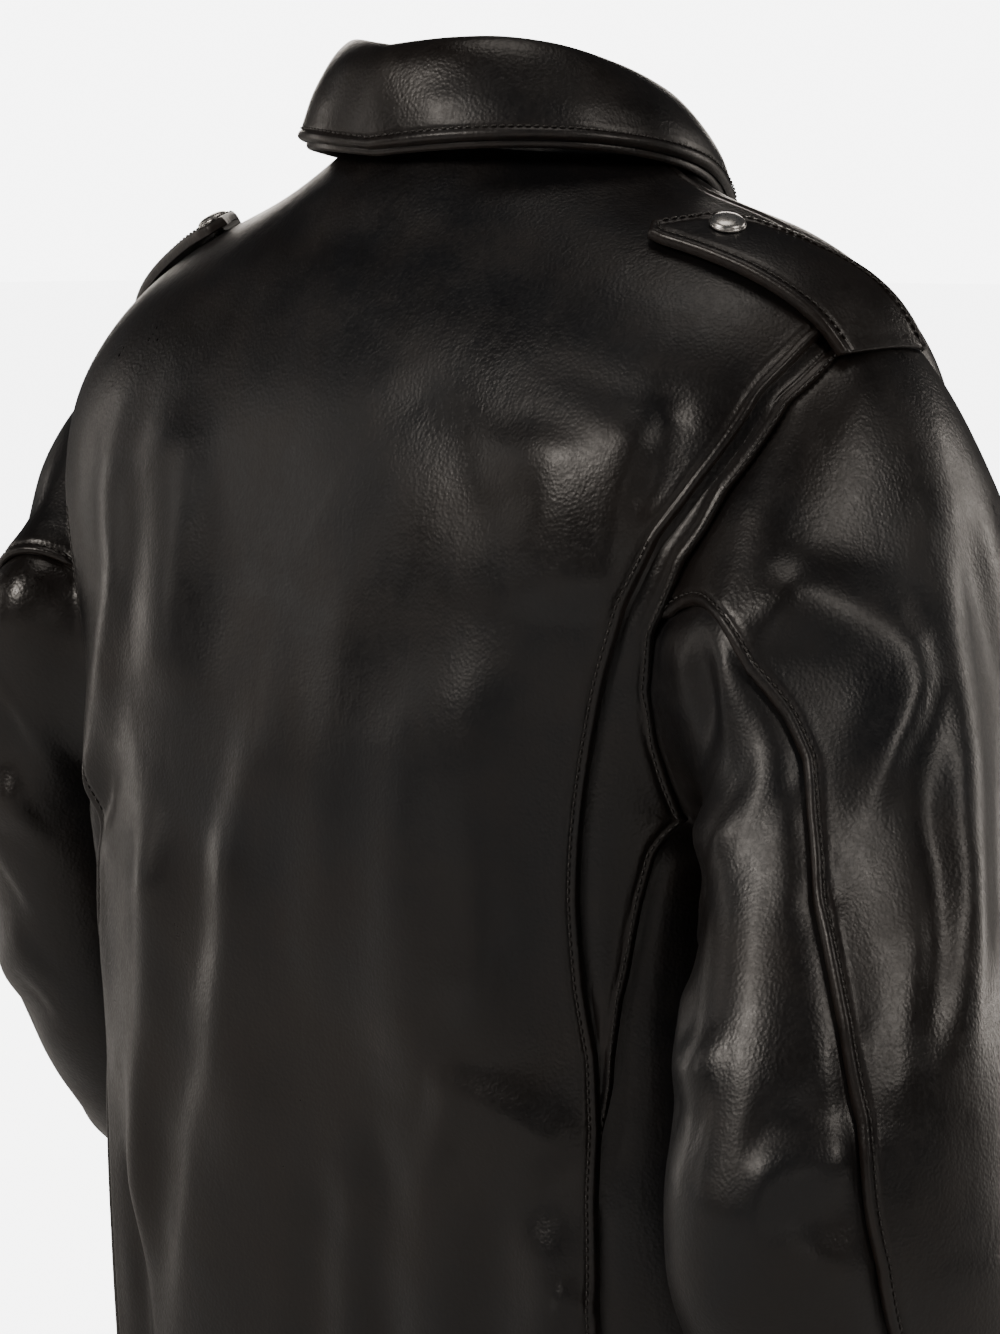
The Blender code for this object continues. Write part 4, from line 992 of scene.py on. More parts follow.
# ---------------------------------------------------------------- collar
def collar_shell():
    nu = 260
    ph = np.concatenate([-153 + np.array([0, .2, .5, 1.0, 1.6, 2.4, 3.2, 4.0]), np.linspace(-148, 148, nu), 153 - np.array([0, .2, .5, 1.0, 1.6, 2.4, 3.2, 4.0])[::-1]])
    rim = np.array([0, .0003, .0008, .0015, .0024, .0034, .0043, .0050, .0057, .0068, .0085])
    uu = np.concatenate([np.linspace(0.0, 0.88, 64), 1.0 - rim[::-1] / 0.085])
    uu = np.unique(np.clip(uu, 0, 1))
    U, V = np.meshgrid(ph, uu, indexing="ij")
    p = collar(U, V)
    n = unit(normals(collar, U, V))
    # the stand runs down to the neck seam and a little inside it
    root = body(U[:, :1], np.full((len(ph), 1), 0.015))
    root = root - n[:, :1] * 0.0012
    steps = np.array([0.0, 0.35, 0.7])[None, :, None]
    p = np.concatenate([root * (1 - steps) + p[:, :1] * steps, p], 1)
    n = np.concatenate([np.repeat(n[:, :1], 3, 1), n], 1)
    U = np.concatenate([np.repeat(U[:, :1], 3, 1), U], 1)
    V = np.concatenate([np.zeros((len(ph), 3)), V], 1)
    uu = np.concatenate([[-0.03, -0.02, -0.01], uu])
    De = distance_to(p, p[:, -1])
    Ds = np.minimum(distance_to(p, p[0]), distance_to(p, p[-1]))
    o1, _ = edge_lift(De, "fold", depth=0.0030)
    o2, _ = edge_lift(Ds, "fold", depth=0.0030)
    wave = 0.0010 * value_noise(p * np.array([1, 1, 0.5]), 0.045, 41) + 0.0004 * value_noise(p, 0.018, 42)
    wave = wave + 0.0012 * np.exp(-((V - 0.80) / 0.12) ** 2)
    up = o1 + o2 + wave * np.clip(V / 0.2, 0, 1)
    outer = p + n * up[..., None]
    inner = p + n * (np.minimum(wave * np.clip(V / 0.2, 0, 1) - 0.0030, up - 0.0006))[..., None]
    # lightened rim and stitch band: rubbed wear and painted highlight
    wear_and_highlight = np.maximum(np.exp(-(np.minimum(De, Ds) / 0.0022) ** 2), 0.35 * np.exp(-((De - 0.005) / 0.003) ** 2))
    obj = shell("collar_leather", outer, inner, LEATHER, edge=wear_and_highlight)
    k = int(np.argmin(np.abs(uu - (1 - 0.0050 / 0.085))))
    stitch_line("body", outer[6:-6, k], n[6:-6, k], sink=0.0004)
    k0 = int(np.argmin(np.abs(uu - 0.36)))
    stitch_line("body", outer[8, k0:k], n[8, k0:k], sink=0.0004)
    stitch_line("body", outer[-9, k0:k], n[-9, k0:k], sink=0.0004)
    # the under collar: a second leaf that shows as a rim beneath the edge
    uu2 = np.concatenate([np.linspace(0.46, 0.90, 30), 1.012 - rim[::-1] / 0.085])
    ph2 = ph * 0.996
    U, V = np.meshgrid(ph2, uu2, indexing="ij")
    Vc = np.clip(V, 0, 1)
    p = collar(U, Vc)
    n = unit(normals(collar, U, Vc))
    down = unit(collar(U, np.ones_like(V)) - collar(U, np.full_like(V, 0.97)))
    p = p + down * ((V - Vc) * 0.085 + 0.0012 * (V > 0.9))[..., None]
    De = distance_to(p, p[:, -1])
    o1, _ = edge_lift(De, "fold", depth=0.0022)
    drop = -0.0036 - 0.0012 * np.exp(-(De / 0.006) ** 2)
    outer2 = p + n * (o1 * 0.8 + drop)[..., None]
    inner2 = p + n * (drop - 0.0024)[..., None]
    # lightened rim of the under collar: rubbed wear and painted highlight
    wear_and_highlight = np.exp(-(De / 0.0022) ** 2)
    return obj, shell("under_collar_leather", outer2, inner2, LEATHER, edge=wear_and_highlight)


collar_obj, under = collar_shell()
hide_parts("collar_stand", "collar_fall")
for o in (collar_obj, under):
    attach(o, "jacket_body")

# ---------------------------------------------------------------- lapels
def lapel_grid(side, uu, vv):
    v = np.asarray(vv, float)
    fold_t = 0.04 + v * 0.415
    inner = (right_inner(fold_t) if side > 0 else 360 - left_inner(fold_t)) - 0.6
    edge_t = np.interp(v, [0, 0.18, 0.5, 1], [0.115, 0.197, 0.30, 0.475])
    edge_p = np.interp(v, [0, 0.18, 0.5, 1], [120.0, 115.0, 129.0, 160.0])
    u = np.asarray(uu, float)[:, None]
    ph = inner[None] * (1 - u) + edge_p[None] * u
    t = fold_t[None] * (1 - u) + edge_t[None] * u
    lift = 0.0052 + 0.004 * np.sin(np.pi * np.clip(u * 1.2, 0, 1)) * np.ones_like(ph)
    return body(side * ph, t), unit(normals(body, side * ph, t)), lift, side * ph


for side, tag in ((1, "right"), (-1, "left")):
    rim = NEAR[:11] / 0.085
    uu = np.concatenate([np.linspace(0, 0.84, 44), 1 - rim[::-1]])
    vv = np.concatenate([NEAR[:11] / 0.28, np.linspace(0.045, 0.955, 110), 1 - NEAR[:11][::-1] / 0.28])
    p, n, lift, ph = lapel_grid(side, uu, vv)
    D = np.minimum(np.minimum(distance_to(p, p[-1]), distance_to(p, p[:, 0])), distance_to(p, p[:, -1]))
    o1, _ = edge_lift(D, "fold", depth=0.0028)
    wave = 0.0008 * value_noise(p, 0.04, 51)
    rel = body_relief(ph, p) * 0.5
    up = o1 + lift + wave + np.maximum(rel, 0)
    low = lift + wave - 0.0030 + np.maximum(rel, 0)
    outer, inner = p + n * up[..., None], p + n * np.minimum(low, up - 0.0006)[..., None]
    # lightened rim and stitch band: rubbed wear and painted highlight
    wear_and_highlight = np.maximum(np.exp(-(D / 0.0022) ** 2), 0.35 * np.exp(-((D - 0.005) / 0.003) ** 2))
    obj = shell("lapel_%s_leather" % tag, outer, inner, LEATHER, edge=wear_and_highlight)
    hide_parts("lapel_" + tag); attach(obj, "jacket_body")
    stitch_line("body", outer[-8, 8:-8], n[-8, 8:-8], sink=0.0004)
    stitch_line("body", outer[2:-8, 7], n[2:-8, 7], sink=0.0004)
    stitch_line("body", outer[2:-8, -8], n[2:-8, -8], sink=0.0004)

# ---------------------------------------------------------------- hanger loop
xs = np.linspace(-0.030, 0.030, 61)
sag = 0.010 * (1 - (xs / 0.030) ** 2)
ww = np.array([-1, -0.96, -0.85, -0.6, -0.3, 0, 0.3, 0.6, 0.85, 0.96, 1.0])
W, X = np.meshgrid(ww, xs, indexing="ij")
z = 0.637 - sag[None] + W * 0.0031
crown = 0.0009 * np.sqrt(np.clip(1 - W ** 2, 0, 1))
o = np.stack([X, 0.0634 + crown, z], -1)
i = np.stack([X, 0.0630 - crown * 0.9, z], -1)
# the loop's long edges are lightened through the edge mask: rubbed wear and painted highlight
obj = shell("hanger_loop_leather", o, i, LEATHER_TRIM, edge=np.abs(W) ** 6)
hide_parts("hanger_loop"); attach(obj, "jacket_body")
for w in (2, -3):
    stitch_line("body", o[w], np.tile([0.0, 1.0, 0.0], (len(xs), 1)), pitch=0.0026, length=0.0020, radius=0.00022)


# ---------------------------------------------------------------- sleeves
BACK_SEAM_S = [0.00, 0.093, 0.175, 0.238, 0.278, 0.316, 0.373, 0.439, 0.514, 0.607, 1.0]
BACK_SEAM_P = [88.0, 80.0, 70.4, 59.5, 54.5, 54.0, 51.8, 44.5, 36.0, 34.0, 50.0]
back_seam = line(BACK_SEAM_S, BACK_SEAM_P)
front_seam = line([0, 0.3, 1], [-62.0, -62.0, -70.0])


def sewn_arm(side):
    """The sleeve surface, with its head drawn in to the armhole seam on the torso."""
    plain = arm(side)
    k = np.array([0, 90, 180, 270, 360])
    centre_ph, centre_t = 82.0, 0.475

    def surface(ps, s):
        ps, s = np.broadcast_arrays(np.asarray(ps, float), np.asarray(s, float))
        q = np.mod(ps, 360.0)
        ph = np.interp(q, ARM_SEAM[:, 0], ARM_SEAM[:, 1])
        t = np.interp(q, ARM_SEAM[:, 0], ARM_SEAM[:, 2])
        # away from the middle of the armhole, to run in under the torso's folded edge
        dx, dz = (ph - centre_ph) * 0.0036, (t - centre_t) * 0.70
        r = np.maximum(np.hypot(dx, dz), 1e-6)
        tuck = 0.0085 * np.clip(1 - s / 0.014, 0, 1)
        ph2 = ph + dx / r * tuck / 0.0036
        t2 = np.clip(t + dz / r * tuck / 0.70, 0.02, 0.98)
        seam = body(-side * ph2, t2)
        out = unit(normals(body, -side * ph2, t2))
        seam = seam - out * (0.0030 - 0.0006 * np.clip(s / 0.014, 0, 1))[..., None]
        w = np.clip((s - 0.010) / 0.125, 0, 1)
        w = (w * w * (3 - 2 * w))[..., None]
        far = plain(ps, np.maximum(s, 0.02))
        clear = far.copy()
        clear[..., 0] = side * np.maximum(side * far[..., 0], split_x(far) - 0.004)
        p = seam * (1 - w) + clear * w
        puff = 0.010 * np.sin(np.pi * np.clip((s - 0.004) / 0.12, 0, 1)) ** 1.0
        return p + out * (puff * np.clip(1 - np.abs(q - 110) / 75, 0, 1))[..., None]

    return surface


def sleeve_fix(side, surf):
    return None


def sleeve_sink(side, p):
    return 0.0


for side, tag in ((-1, "right"), (1, "left")):
    surf = sewn_arm(side)
    fl = side < 0

    def relief(u, v, p, side=side):
        return arm_relief(side, u, v, p) + sleeve_sink(side, p)

    per = 0.0016
    for part, lo, hi, l, r in (("upper_sleeve", front_seam, back_seam, "seam", "over"), ("under_sleeve", back_seam, lambda s: front_seam(s) + 360, "under", "seam")):
        obj, info = leather_panel("%s_%s_leather" % (part, tag), surf, lo, hi, 0.0, 1.0, LEATHER, left=l, right=r, top="plain", bottom="fold", step=0.0030,
                                  relief=relief, flip=fl, fix=sleeve_fix(side, surf), per_degree=per)
        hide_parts("%s_%s" % (part, tag))
        if part == "upper_sleeve":
            stitched("sleeve_" + tag, info, "right")
        stitched("sleeve_" + tag, info, "bottom")
        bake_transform(obj)
    # lining tube
    ps = np.linspace(0, 360, 121)[:-1]
    ss = np.linspace(0.13, 0.985, 130)
    U, V = np.meshgrid(ps, ss, indexing="ij")
    p = surf(U, V)
    n = unit(normals(surf, U, V, flip=fl))
    rel = 0.0016 * value_noise(p * np.array([1, 1, 1.8]), 0.03, 61) + 0.0006 * value_noise(p, 0.012, 62)
    rel = rel + 0.4 * np.minimum(arm_relief(side, U, V, p), 0)
    keep = keep_outside(side)
    o, i = keep(p + n * (rel - LINING_INSET)[..., None]), keep(p + n * (rel - LINING_INSET - 0.001)[..., None])
    i = np.where(np.linalg.norm(o - i, axis=-1, keepdims=True) < 0.0007, o - n * 0.0009, i)
    obj = shell("sleeve_lining_%s_satin" % tag, o, i, LINING_MAT, closed=True)
    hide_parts("sleeve_lining_" + tag)
    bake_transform(obj)


# ---------------------------------------------------------------- hardware helpers
def frame_on(surface, u, v, u2, v2, lift=0.0, flip=False):
    p = surface(u, v)
    n = normals(surface, np.asarray(u, float), np.asarray(v, float), flip=flip)
    y = surface(u2, v2) - p
    y = y - n * (y @ n)
    y /= np.linalg.norm(y)
    x = np.cross(y, n)
    return p + n * lift, np.stack([x, y, n], 1)


def revolve(profile, seg=56):
    """Solid of revolution about z; the profile starts and ends on the axis."""
    verts, rings, quads, tris = [], [], [], []
    for r, z in profile:
        if r < 1e-9:
            rings.append([len(verts)]); verts.append((0, 0, z))
        else:
            rings.append(list(range(len(verts), len(verts) + seg)))
            verts += [(r * math.cos(2 * math.pi * k / seg), r * math.sin(2 * math.pi * k / seg), z) for k in range(seg)]
    for a, b in zip(rings, rings[1:]):
        for k in range(seg):
            k2 = (k + 1) % seg
            if len(a) == 1:
                tris.append((a[0], b[k2], b[k]))
            elif len(b) == 1:
                tris.append((a[k], a[k2], b[0]))
            else:
                quads.append((a[k], a[k2], b[k2], b[k]))
    v = np.array(verts, float)
    vol = sum(v[t[0]] @ np.cross(v[t[1]], v[t[2]]) for t in tris) + signed_volume(v, quads)
    if vol < 0:
        quads = [q[::-1] for q in quads]
        tris = [t[::-1] for t in tris]
    return v, np.array(quads).reshape(-1, 4), np.array(tris).reshape(-1, 3)


def arc(points, steps=6):
    """Rounds a profile by fitting a smooth line through it."""
    pts = np.asarray(points, float)
    k = np.concatenate([[0], np.cumsum(np.linalg.norm(np.diff(pts, axis=0), axis=1))])
    return spline(k, pts, np.linspace(0, k[-1], steps * (len(pts) - 1) + 1))


def rounded_plate(outline, holes, height, bevel, z0=0.0):
    """Flat metal plate with rounded edges, from an outline and holes (each a chain of 2-D points)."""
    import bmesh
    curve = bpy.data.curves.new("plate", "CURVE")
    curve.dimensions = "2D"
    curve.fill_mode = "BOTH"
    for chain in [outline] + list(holes):
        sp = curve.splines.new("POLY")
        sp.points.add(len(chain) - 1)
        for k, q in enumerate(chain):
            sp.points[k].co = (float(q[0]), float(q[1]), 0.0, 1.0)
        sp.use_cyclic_u = True
    curve.extrude = height / 2 - bevel
    curve.bevel_depth = bevel
    curve.bevel_resolution = 3
    curve.offset = -bevel
    tmp = bpy.data.objects.new("plate", curve)
    bpy.context.scene.collection.objects.link(tmp)
    bpy.context.view_layer.update()
    mesh = bpy.data.meshes.new_from_object(tmp.evaluated_get(bpy.context.evaluated_depsgraph_get()))
    bpy.data.objects.remove(tmp)
    bm = bmesh.new()
    bm.from_mesh(mesh)
    bmesh.ops.remove_doubles(bm, verts=bm.verts, dist=1e-6)
    for v in bm.verts:
        v.co.z += z0 + height / 2
    bmesh.ops.recalc_face_normals(bm, faces=bm.faces)
    bm.to_mesh(mesh)
    bm.free()
    return mesh


def hull_box(size, local=(0, 0, 0), bevel=0.0004, seg=3):
    import bmesh
    bm = bmesh.new()
    bmesh.ops.create_cube(bm, size=1.0)
    for v in bm.verts:
        v.co.x = v.co.x * size[0] + local[0]
        v.co.y = v.co.y * size[1] + local[1]
        v.co.z = v.co.z * size[2] + local[2]
    bmesh.ops.bevel(bm, geom=list(bm.edges) + list(bm.verts), offset=bevel, segments=seg, profile=0.5, affect="EDGES")
    mesh = bpy.data.meshes.new("box")
    bm.to_mesh(mesh)
    bm.free()
    return mesh


def put(name, meshes, origin, axes, mat, smooth=True):
    """Joins meshes given in a local frame into one piece standing at origin with these axes."""
    import bmesh
    from mathutils import Matrix
    o = np.asarray(origin, float) - NAPE
    m = Matrix([[float(axes[r][c]) for c in range(3)] + [float(o[r])] for r in range(3)] + [[0, 0, 0, 1]])
    bm = bmesh.new()
    for mesh in meshes:
        bm.from_mesh(mesh)
    bm.transform(m)
    bmesh.ops.recalc_face_normals(bm, faces=bm.faces)
    for f in bm.faces:
        f.smooth = smooth
    out = bpy.data.meshes.new(name)
    bm.to_mesh(out)
    bm.free()
    obj = bpy.data.objects.new(name, out)
    PIECES.objects.link(obj)
    out.materials.append(mat)
    if smooth:
        w = obj.modifiers.new("Weighted", "WEIGHTED_NORMAL")
        w.keep_sharp = True
    return obj


def as_mesh(v, q, t):
    return fast_mesh("part", v, q, t)


def rounded_rect(w, h, r, n=6, cx=0.0, cy=0.0, reverse=False):
    pts = []
    for sx, sy, a0 in ((1, 1, 0), (-1, 1, 90), (-1, -1, 180), (1, -1, 270)):
        for k in range(n + 1):
            a = math.radians(a0 + 90 * k / n)
            pts.append((cx + sx * (w / 2 - r) + r * math.cos(a), cy + sy * (h / 2 - r) + r * math.sin(a)))
    return pts[::-1] if reverse else pts


def snap_mesh(d, h):
    """Domed cap of a press snap: rolled rim, soft dome."""
    r = d / 2
    dome = [(r * 0.30, h * 0.975), (r * 0.55, h * 0.90), (r * 0.75, h * 0.76), (r * 0.88, h * 0.58), (r * 0.95, h * 0.44)]
    prof = [(0, 0), (r * 0.80, 0.0)] + [(r * (0.93 + 0.07 * math.cos(a)) , h * 0.20 + h * 0.20 * math.sin(a)) for a in np.linspace(-math.pi / 2, math.pi / 2, 10)] + \
        [tuple(q) for q in arc([(r * 0.925, h * 0.41)] + dome[::-1][1:] + [(r * 0.12, h * 0.995)], 5)] + [(0, h)]
    return as_mesh(*revolve(prof))


# ---------------------------------------------------------------- epaulettes
STRAP_T0, STRAP_T1 = 0.190, 0.3300
STRAP_LIFT = 0.0075


def strap_surface(side):
    def f(u, v):
        """u across -1 front to 1 back, v 0 tip to 1 armhole."""
        t = STRAP_T0 + (STRAP_T1 - STRAP_T0) * v
        half = np.interp(v, [0, 0.12, 0.20, 1.0, 1.3], [0.0085, 0.0190, 0.0210, 0.0265, 0.0290])
        yb = spline(RINGS[:, 0], RINGS[:, 2], t)
        y = 0.050 - 0.034 * v + u * half
        ph = 90 - np.degrees(np.arcsin(np.clip(y / yb, -0.9, 0.9)))
        return body(side * ph, t), unit(normals(body, side * ph, t))
    return f


def strap_bend(f):
    """Where the sewn end of the strap starts to bend, and where it is free."""
    a, b = f(np.array(0.0), np.array(1.04))[0], f(np.array(0.0), np.array(0.80))[0]
    return tuple(a - NAPE), tuple(b - NAPE)


for side, tag in ((1, "right"), (-1, "left")):
    f = strap_surface(side)
    rim = NEAR[:11] / 0.048
    uu = np.concatenate([-1 + 2 * rim, np.linspace(-0.60, 0.60, 26), 1 - 2 * rim[::-1]])
    vv = np.concatenate([NEAR[:11] / 0.105, np.linspace(0.11, 1.17, 84)])
    U, V = np.meshgrid(uu, vv, indexing="ij")
    p, n = f(U, V)
    # the strap sinks on to the shoulder where it is sewn down at the armhole
    D = np.minimum(np.minimum(distance_to(p, p[0]), distance_to(p, p[-1])), distance_to(p, p[:, 0]))
    o1, _ = edge_lift(D, "fold", depth=0.0040)
    lift = STRAP_LIFT - 0.0018 * np.clip((V - 0.80) / 0.3, 0, 1) ** 2 + 0.0012 * np.sin(np.pi * np.clip((V - 0.2) / 0.8, 0, 1)) * (1 - U ** 2)
    lift = lift + 0.0005 * value_noise(p, 0.025, 71)
    outer, inner = p + n * (lift + o1)[..., None], p + n * np.minimum(lift - 0.0036, lift + o1 - 0.0006)[..., None]
    # lightened rim and stitch band: rubbed wear and painted highlight
    wear_and_highlight = np.maximum(np.exp(-(D / 0.0024) ** 2), 0.35 * np.exp(-((D - 0.005) / 0.003) ** 2))
    obj = shell("epaulette_%s_leather" % tag, outer, inner, LEATHER_TRIM, edge=wear_and_highlight)
    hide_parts("epaulette_" + tag)
    bend = strap_bend(f)
    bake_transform(obj)
    key = "strap_" + tag
    stitch_line(key, outer[7, 7:-4], n[7, 7:-4], sink=0.0004)
    stitch_line(key, outer[-8, 7:-4], n[-8, 7:-4], sink=0.0004)
    stitch_line(key, outer[8:-8, 7], n[8:-8, 7], sink=0.0004)
    pc, nc = f(np.array(-0.15), np.array(0.20))
    y_ax = np.array([0.0, 1.0, 0.0]) - nc * nc[1]
    y_ax /= np.linalg.norm(y_ax)
    ax = np.stack([np.cross(y_ax, nc), y_ax, nc], 1)
    cap = put("epaulette_snap_%s_cap" % tag, [snap_mesh(0.0165, 0.0040)], pc + nc * (STRAP_LIFT + 0.0002), ax, NICKEL)
    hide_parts("epaulette_snap_" + tag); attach(cap, "epaulette_strap_" + tag)
    stud = put("epaulette_stud_%s_post" % tag, [as_mesh(*revolve([(0, 0)] + [tuple(q) for q in arc([(0.0054, 0), (0.0056, 0.0006), (0.0050, 0.0013), (0.0030, 0.0017), (0.0027, 0.0026), (0.0026, 0.0033)], 4)] + [(0, 0.0034)]))], pc + nc * 0.0004, ax, NICKEL)
    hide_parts("epaulette_stud_" + tag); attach(stud, "jacket_body")
    obj = finish_thread(key, "epaulette_stitching_" + tag, THREAD_MAT)
    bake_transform(obj)


# ---------------------------------------------------------------- zips
def zip_row(path, normal, half, pitch=0.0031, tooth=(0.0042, 0.0017, 0.0017), side=1, lift=0.0):
    """One row of teeth beside a path; each tooth is a small rounded block with a nose."""
    run = np.concatenate([[0], np.cumsum(np.linalg.norm(np.diff(path, axis=0), axis=1))])
    s = np.arange(pitch * (0.5 if side > 0 else 1.0), run[-1] - pitch / 2, pitch)
    c = np.stack([np.interp(s, run, path[:, k]) for k in range(3)], -1)
    n = unit(np.stack([np.interp(s, run, normal[:, k]) for k in range(3)], -1))
    y = unit(np.stack([np.interp(s + 0.001, run, path[:, k]) - np.interp(s - 0.001, run, path[:, k]) for k in range(3)], -1))
    x = np.cross(y, n) * side
    sx, sy, sz = tooth
    b = 0.25
    prof = []
    for xx, w, h in ((0.0, 0.30, 0.60), (0.06, 0.50, 0.95), (0.30, 0.50, 1.0), (0.62, 0.44, 0.95), (0.78, 0.30, 0.80), (0.93, 0.30, 0.72), (1.0, 0.16, 0.45)):
        prof.append([(xx * sx, -w * sy, -h * sz / 2), (xx * sx, w * sy, -h * sz / 2), (xx * sx, w * sy * 1.05, 0), (xx * sx, w * sy * 0.8, h * sz / 2), (xx * sx, -w * sy * 0.8, h * sz / 2), (xx * sx, -w * sy * 1.05, 0)])
    v = np.array(prof).reshape(-1, 3)
    m = 6
    q = [(i * m + k, (i + 1) * m + k, (i + 1) * m + (k + 1) % m, i * m + (k + 1) % m) for i in range(len(prof) - 1) for k in range(m)]
    e = len(prof) - 1
    t = [(0, k, k + 1) for k in range(1, m - 1)] + [(e * m, e * m + k + 1, e * m + k) for k in range(1, m - 1)]
    start = c + x * (0.0006 - sx) + n * lift
    V = start[:, None] + x[:, None] * v[None, :, 0:1] + y[:, None] * v[None, :, 1:2] + n[:, None] * v[None, :, 2:3]
    return V.reshape(-1, 3), np.array(q), np.array(t), len(c), len(v), side


def teeth_piece(name, rows):
    verts, quads, tris, off = [], [], [], 0
    for V, q, t, n, m, side in rows:
        base = (np.arange(n) * m)[:, None, None] + off
        a, b = (q[None] + base).reshape(-1, 4), (t[None] + base).reshape(-1, 3)
        if side < 0:
            a, b = a[:, ::-1], b[:, ::-1]
        verts.append(V); quads.append(a); tris.append(b)
        off += len(V)
    v, q = np.concatenate(verts), np.concatenate(quads)
    t = np.concatenate(tris)
    return piece(name, v, q, t, TEETH)


def tape(name, path, normal, half, lift, thick=0.0010, sides=(-1, 1), gap=0.0):
    """Woven tape beside a path, with a corded inner edge."""
    y = unit(np.gradient(path, axis=0))
    n = unit(normal)
    x = np.cross(y, n)
    k = np.linspace(0, 1, 14)
    cord = 0.0005 * np.exp(-((k - 0.06) / 0.07) ** 2)
    out = []
    for s in sides:
        d = gap + (half - gap) * k
        o = path[None] + s * x[None] * d[:, None, None] + n[None] * (lift + cord)[:, None, None]
        i = path[None] + s * x[None] * d[:, None, None] + n[None] * (lift - thick)
        out.append((o, i))
    return out


def slider_pair(tag, surface, at, toward, lift, body_slider, body_pull, flip=False):
    o, ax = frame_on(surface, at[0], at[1], toward[0], toward[1], lift, flip)
    # slider: a waisted shield with a bridge over it
    out = [(0.0026, -0.0060), (0.0040, -0.0046), (0.0040, -0.0010), (0.0031, 0.0018), (0.0033, 0.0048), (0.0024, 0.0060)]
    ring = arc(out, 5)
    outline = [tuple(q) for q in ring] + [(-q[0], q[1]) for q in ring[::-1]]
    base = rounded_plate(outline, [], 0.0012, 0.0003, 0.0002)
    top = rounded_plate([(0.94 * a, 0.97 * b) for a, b in outline], [], 0.0011, 0.0003, 0.0018)
    post = hull_box((0.0022, 0.0024, 0.0012), (0, 0.0030, 0.0014), 0.0002, 2)
    k = np.linspace(-1, 1, 15)
    bridge_c = np.stack([np.zeros(15), -0.0005 + 0.0042 * k, 0.0027 + 0.0010 * np.sqrt(np.clip(1 - k ** 4, 0, 1))], -1)
    ang = np.arange(10) / 10 * 2 * np.pi
    ty = unit(np.gradient(bridge_c, axis=0))
    nx = np.tile([1.0, 0, 0], (15, 1))
    nz = np.cross(nx, ty)
    tube = bridge_c[:, None] + nx[:, None] * (0.0011 * np.cos(ang))[None, :, None] + nz[:, None] * (0.0005 * np.sin(ang))[None, :, None]
    q = [(i * 10 + j, i * 10 + (j + 1) % 10, (i + 1) * 10 + (j + 1) % 10, (i + 1) * 10 + j) for i in range(14) for j in range(10)]
    t = [(0, j + 1, j) for j in range(1, 9)] + [(140, 140 + j, 140 + j + 1) for j in range(1, 9)]
    bridge = fast_mesh("bridge", tube.reshape(-1, 3), q, t)
    obj = put(tag + "_slider_metal", [base, top, post, bridge], o, ax, NICKEL)
    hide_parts(tag + "_slider"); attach(obj, body_slider)
    hinge = o + ax[:, 2] * 0.0054 + ax[:, 1] * (-0.003)
    w, L = 0.0058, 0.0260
    tab = [(0.0019, -0.0007), (0.0022, 0.0030), (0.0029, 0.0070), (0.0029, 0.0200), (0.0027, 0.0236), (0.0014, 0.0250)]
    ring = arc(tab, 5)
    outline = [tuple(q) for q in ring] + [(-q[0], q[1]) for q in ring[::-1]]
    slot_hole = rounded_rect(0.0022, 0.0030, 0.0006, 4, 0, 0.0016, True)
    long_hole = rounded_rect(0.0026, 0.0110, 0.0012, 5, 0, 0.0150, True)
    plate = rounded_plate(outline, [slot_hole, long_hole], 0.0012, 0.0003, -0.0006)
    obj = put(tag + "_pull_metal", [plate], hinge, ax, NICKEL)
    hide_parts(tag + "_pull"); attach(obj, body_pull)


def leather_frame(name, path, normal, half, lift, body_name, mat=None):
    """Turned leather lips along both sides of a zip and across its ends."""
    y = unit(np.gradient(path, axis=0))
    n = unit(normal)
    x = np.cross(y, n)
    run = np.concatenate([[0], np.cumsum(np.linalg.norm(np.diff(path, axis=0), axis=1))])
    # closed oval path round the opening
    pts, nn, out = [], [], []
    for s, rng in ((1, range(len(path))), (-1, range(len(path) - 1, -1, -1))):
        for k in rng:
            pts.append(path[k] + s * x[k] * half); nn.append(n[k]); out.append(s * x[k])
        k = len(path) - 1 if s > 0 else 0
        e = y[k] if s > 0 else -y[k]
        for a in np.linspace(0, np.pi, 14)[1:-1]:
            d = s * x[k] * np.cos(a) + e * np.sin(a) * 0.7
            pts.append(path[k] + d * half); nn.append(n[k]); out.append(unit(d))
    pts, nn, out = np.array(pts), np.array(nn), np.array(out)
    prof = [(-0.0012, -0.0010), (-0.0014, 0.0002), (-0.0008, 0.0012), (0.0004, 0.0017), (0.0020, 0.0017), (0.0034, 0.0013), (0.0042, 0.0012), (0.0050, 0.0014), (0.0064, 0.0014), (0.0078, 0.0008), (0.0086, -0.0006), (0.0084, -0.0014)]
    prof = arc(prof, 3)
    g = pts[None] + out[None] * prof[:, 0][:, None, None] + nn[None] * (prof[:, 1] + lift)[:, None, None]
    m, L = g.shape[:2]
    verts = g.reshape(-1, 3)
    q = [(i * L + j, i * L + (j + 1) % L, ((i + 1) % m) * L + (j + 1) % L, ((i + 1) % m) * L + j) for i in range(m) for j in range(L)]
    q = np.array(q)
    if signed_volume(verts, q) < 0:
        q = q[:, ::-1]
    # the crest of the lip is lightened through the edge mask: rubbed wear and painted highlight
    obj = piece(name, verts, q, None, mat or LEATHER_TRIM, edge=np.tile((np.abs(prof[:, 1] - 0.0014) < 0.0004).astype(float)[:, None] * 0.5, (1, L)))
    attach(obj, body_name)
    c = g[int(m * 0.54)]
    return obj, np.concatenate([c, c[:1]]), np.concatenate([nn, nn[:1]])


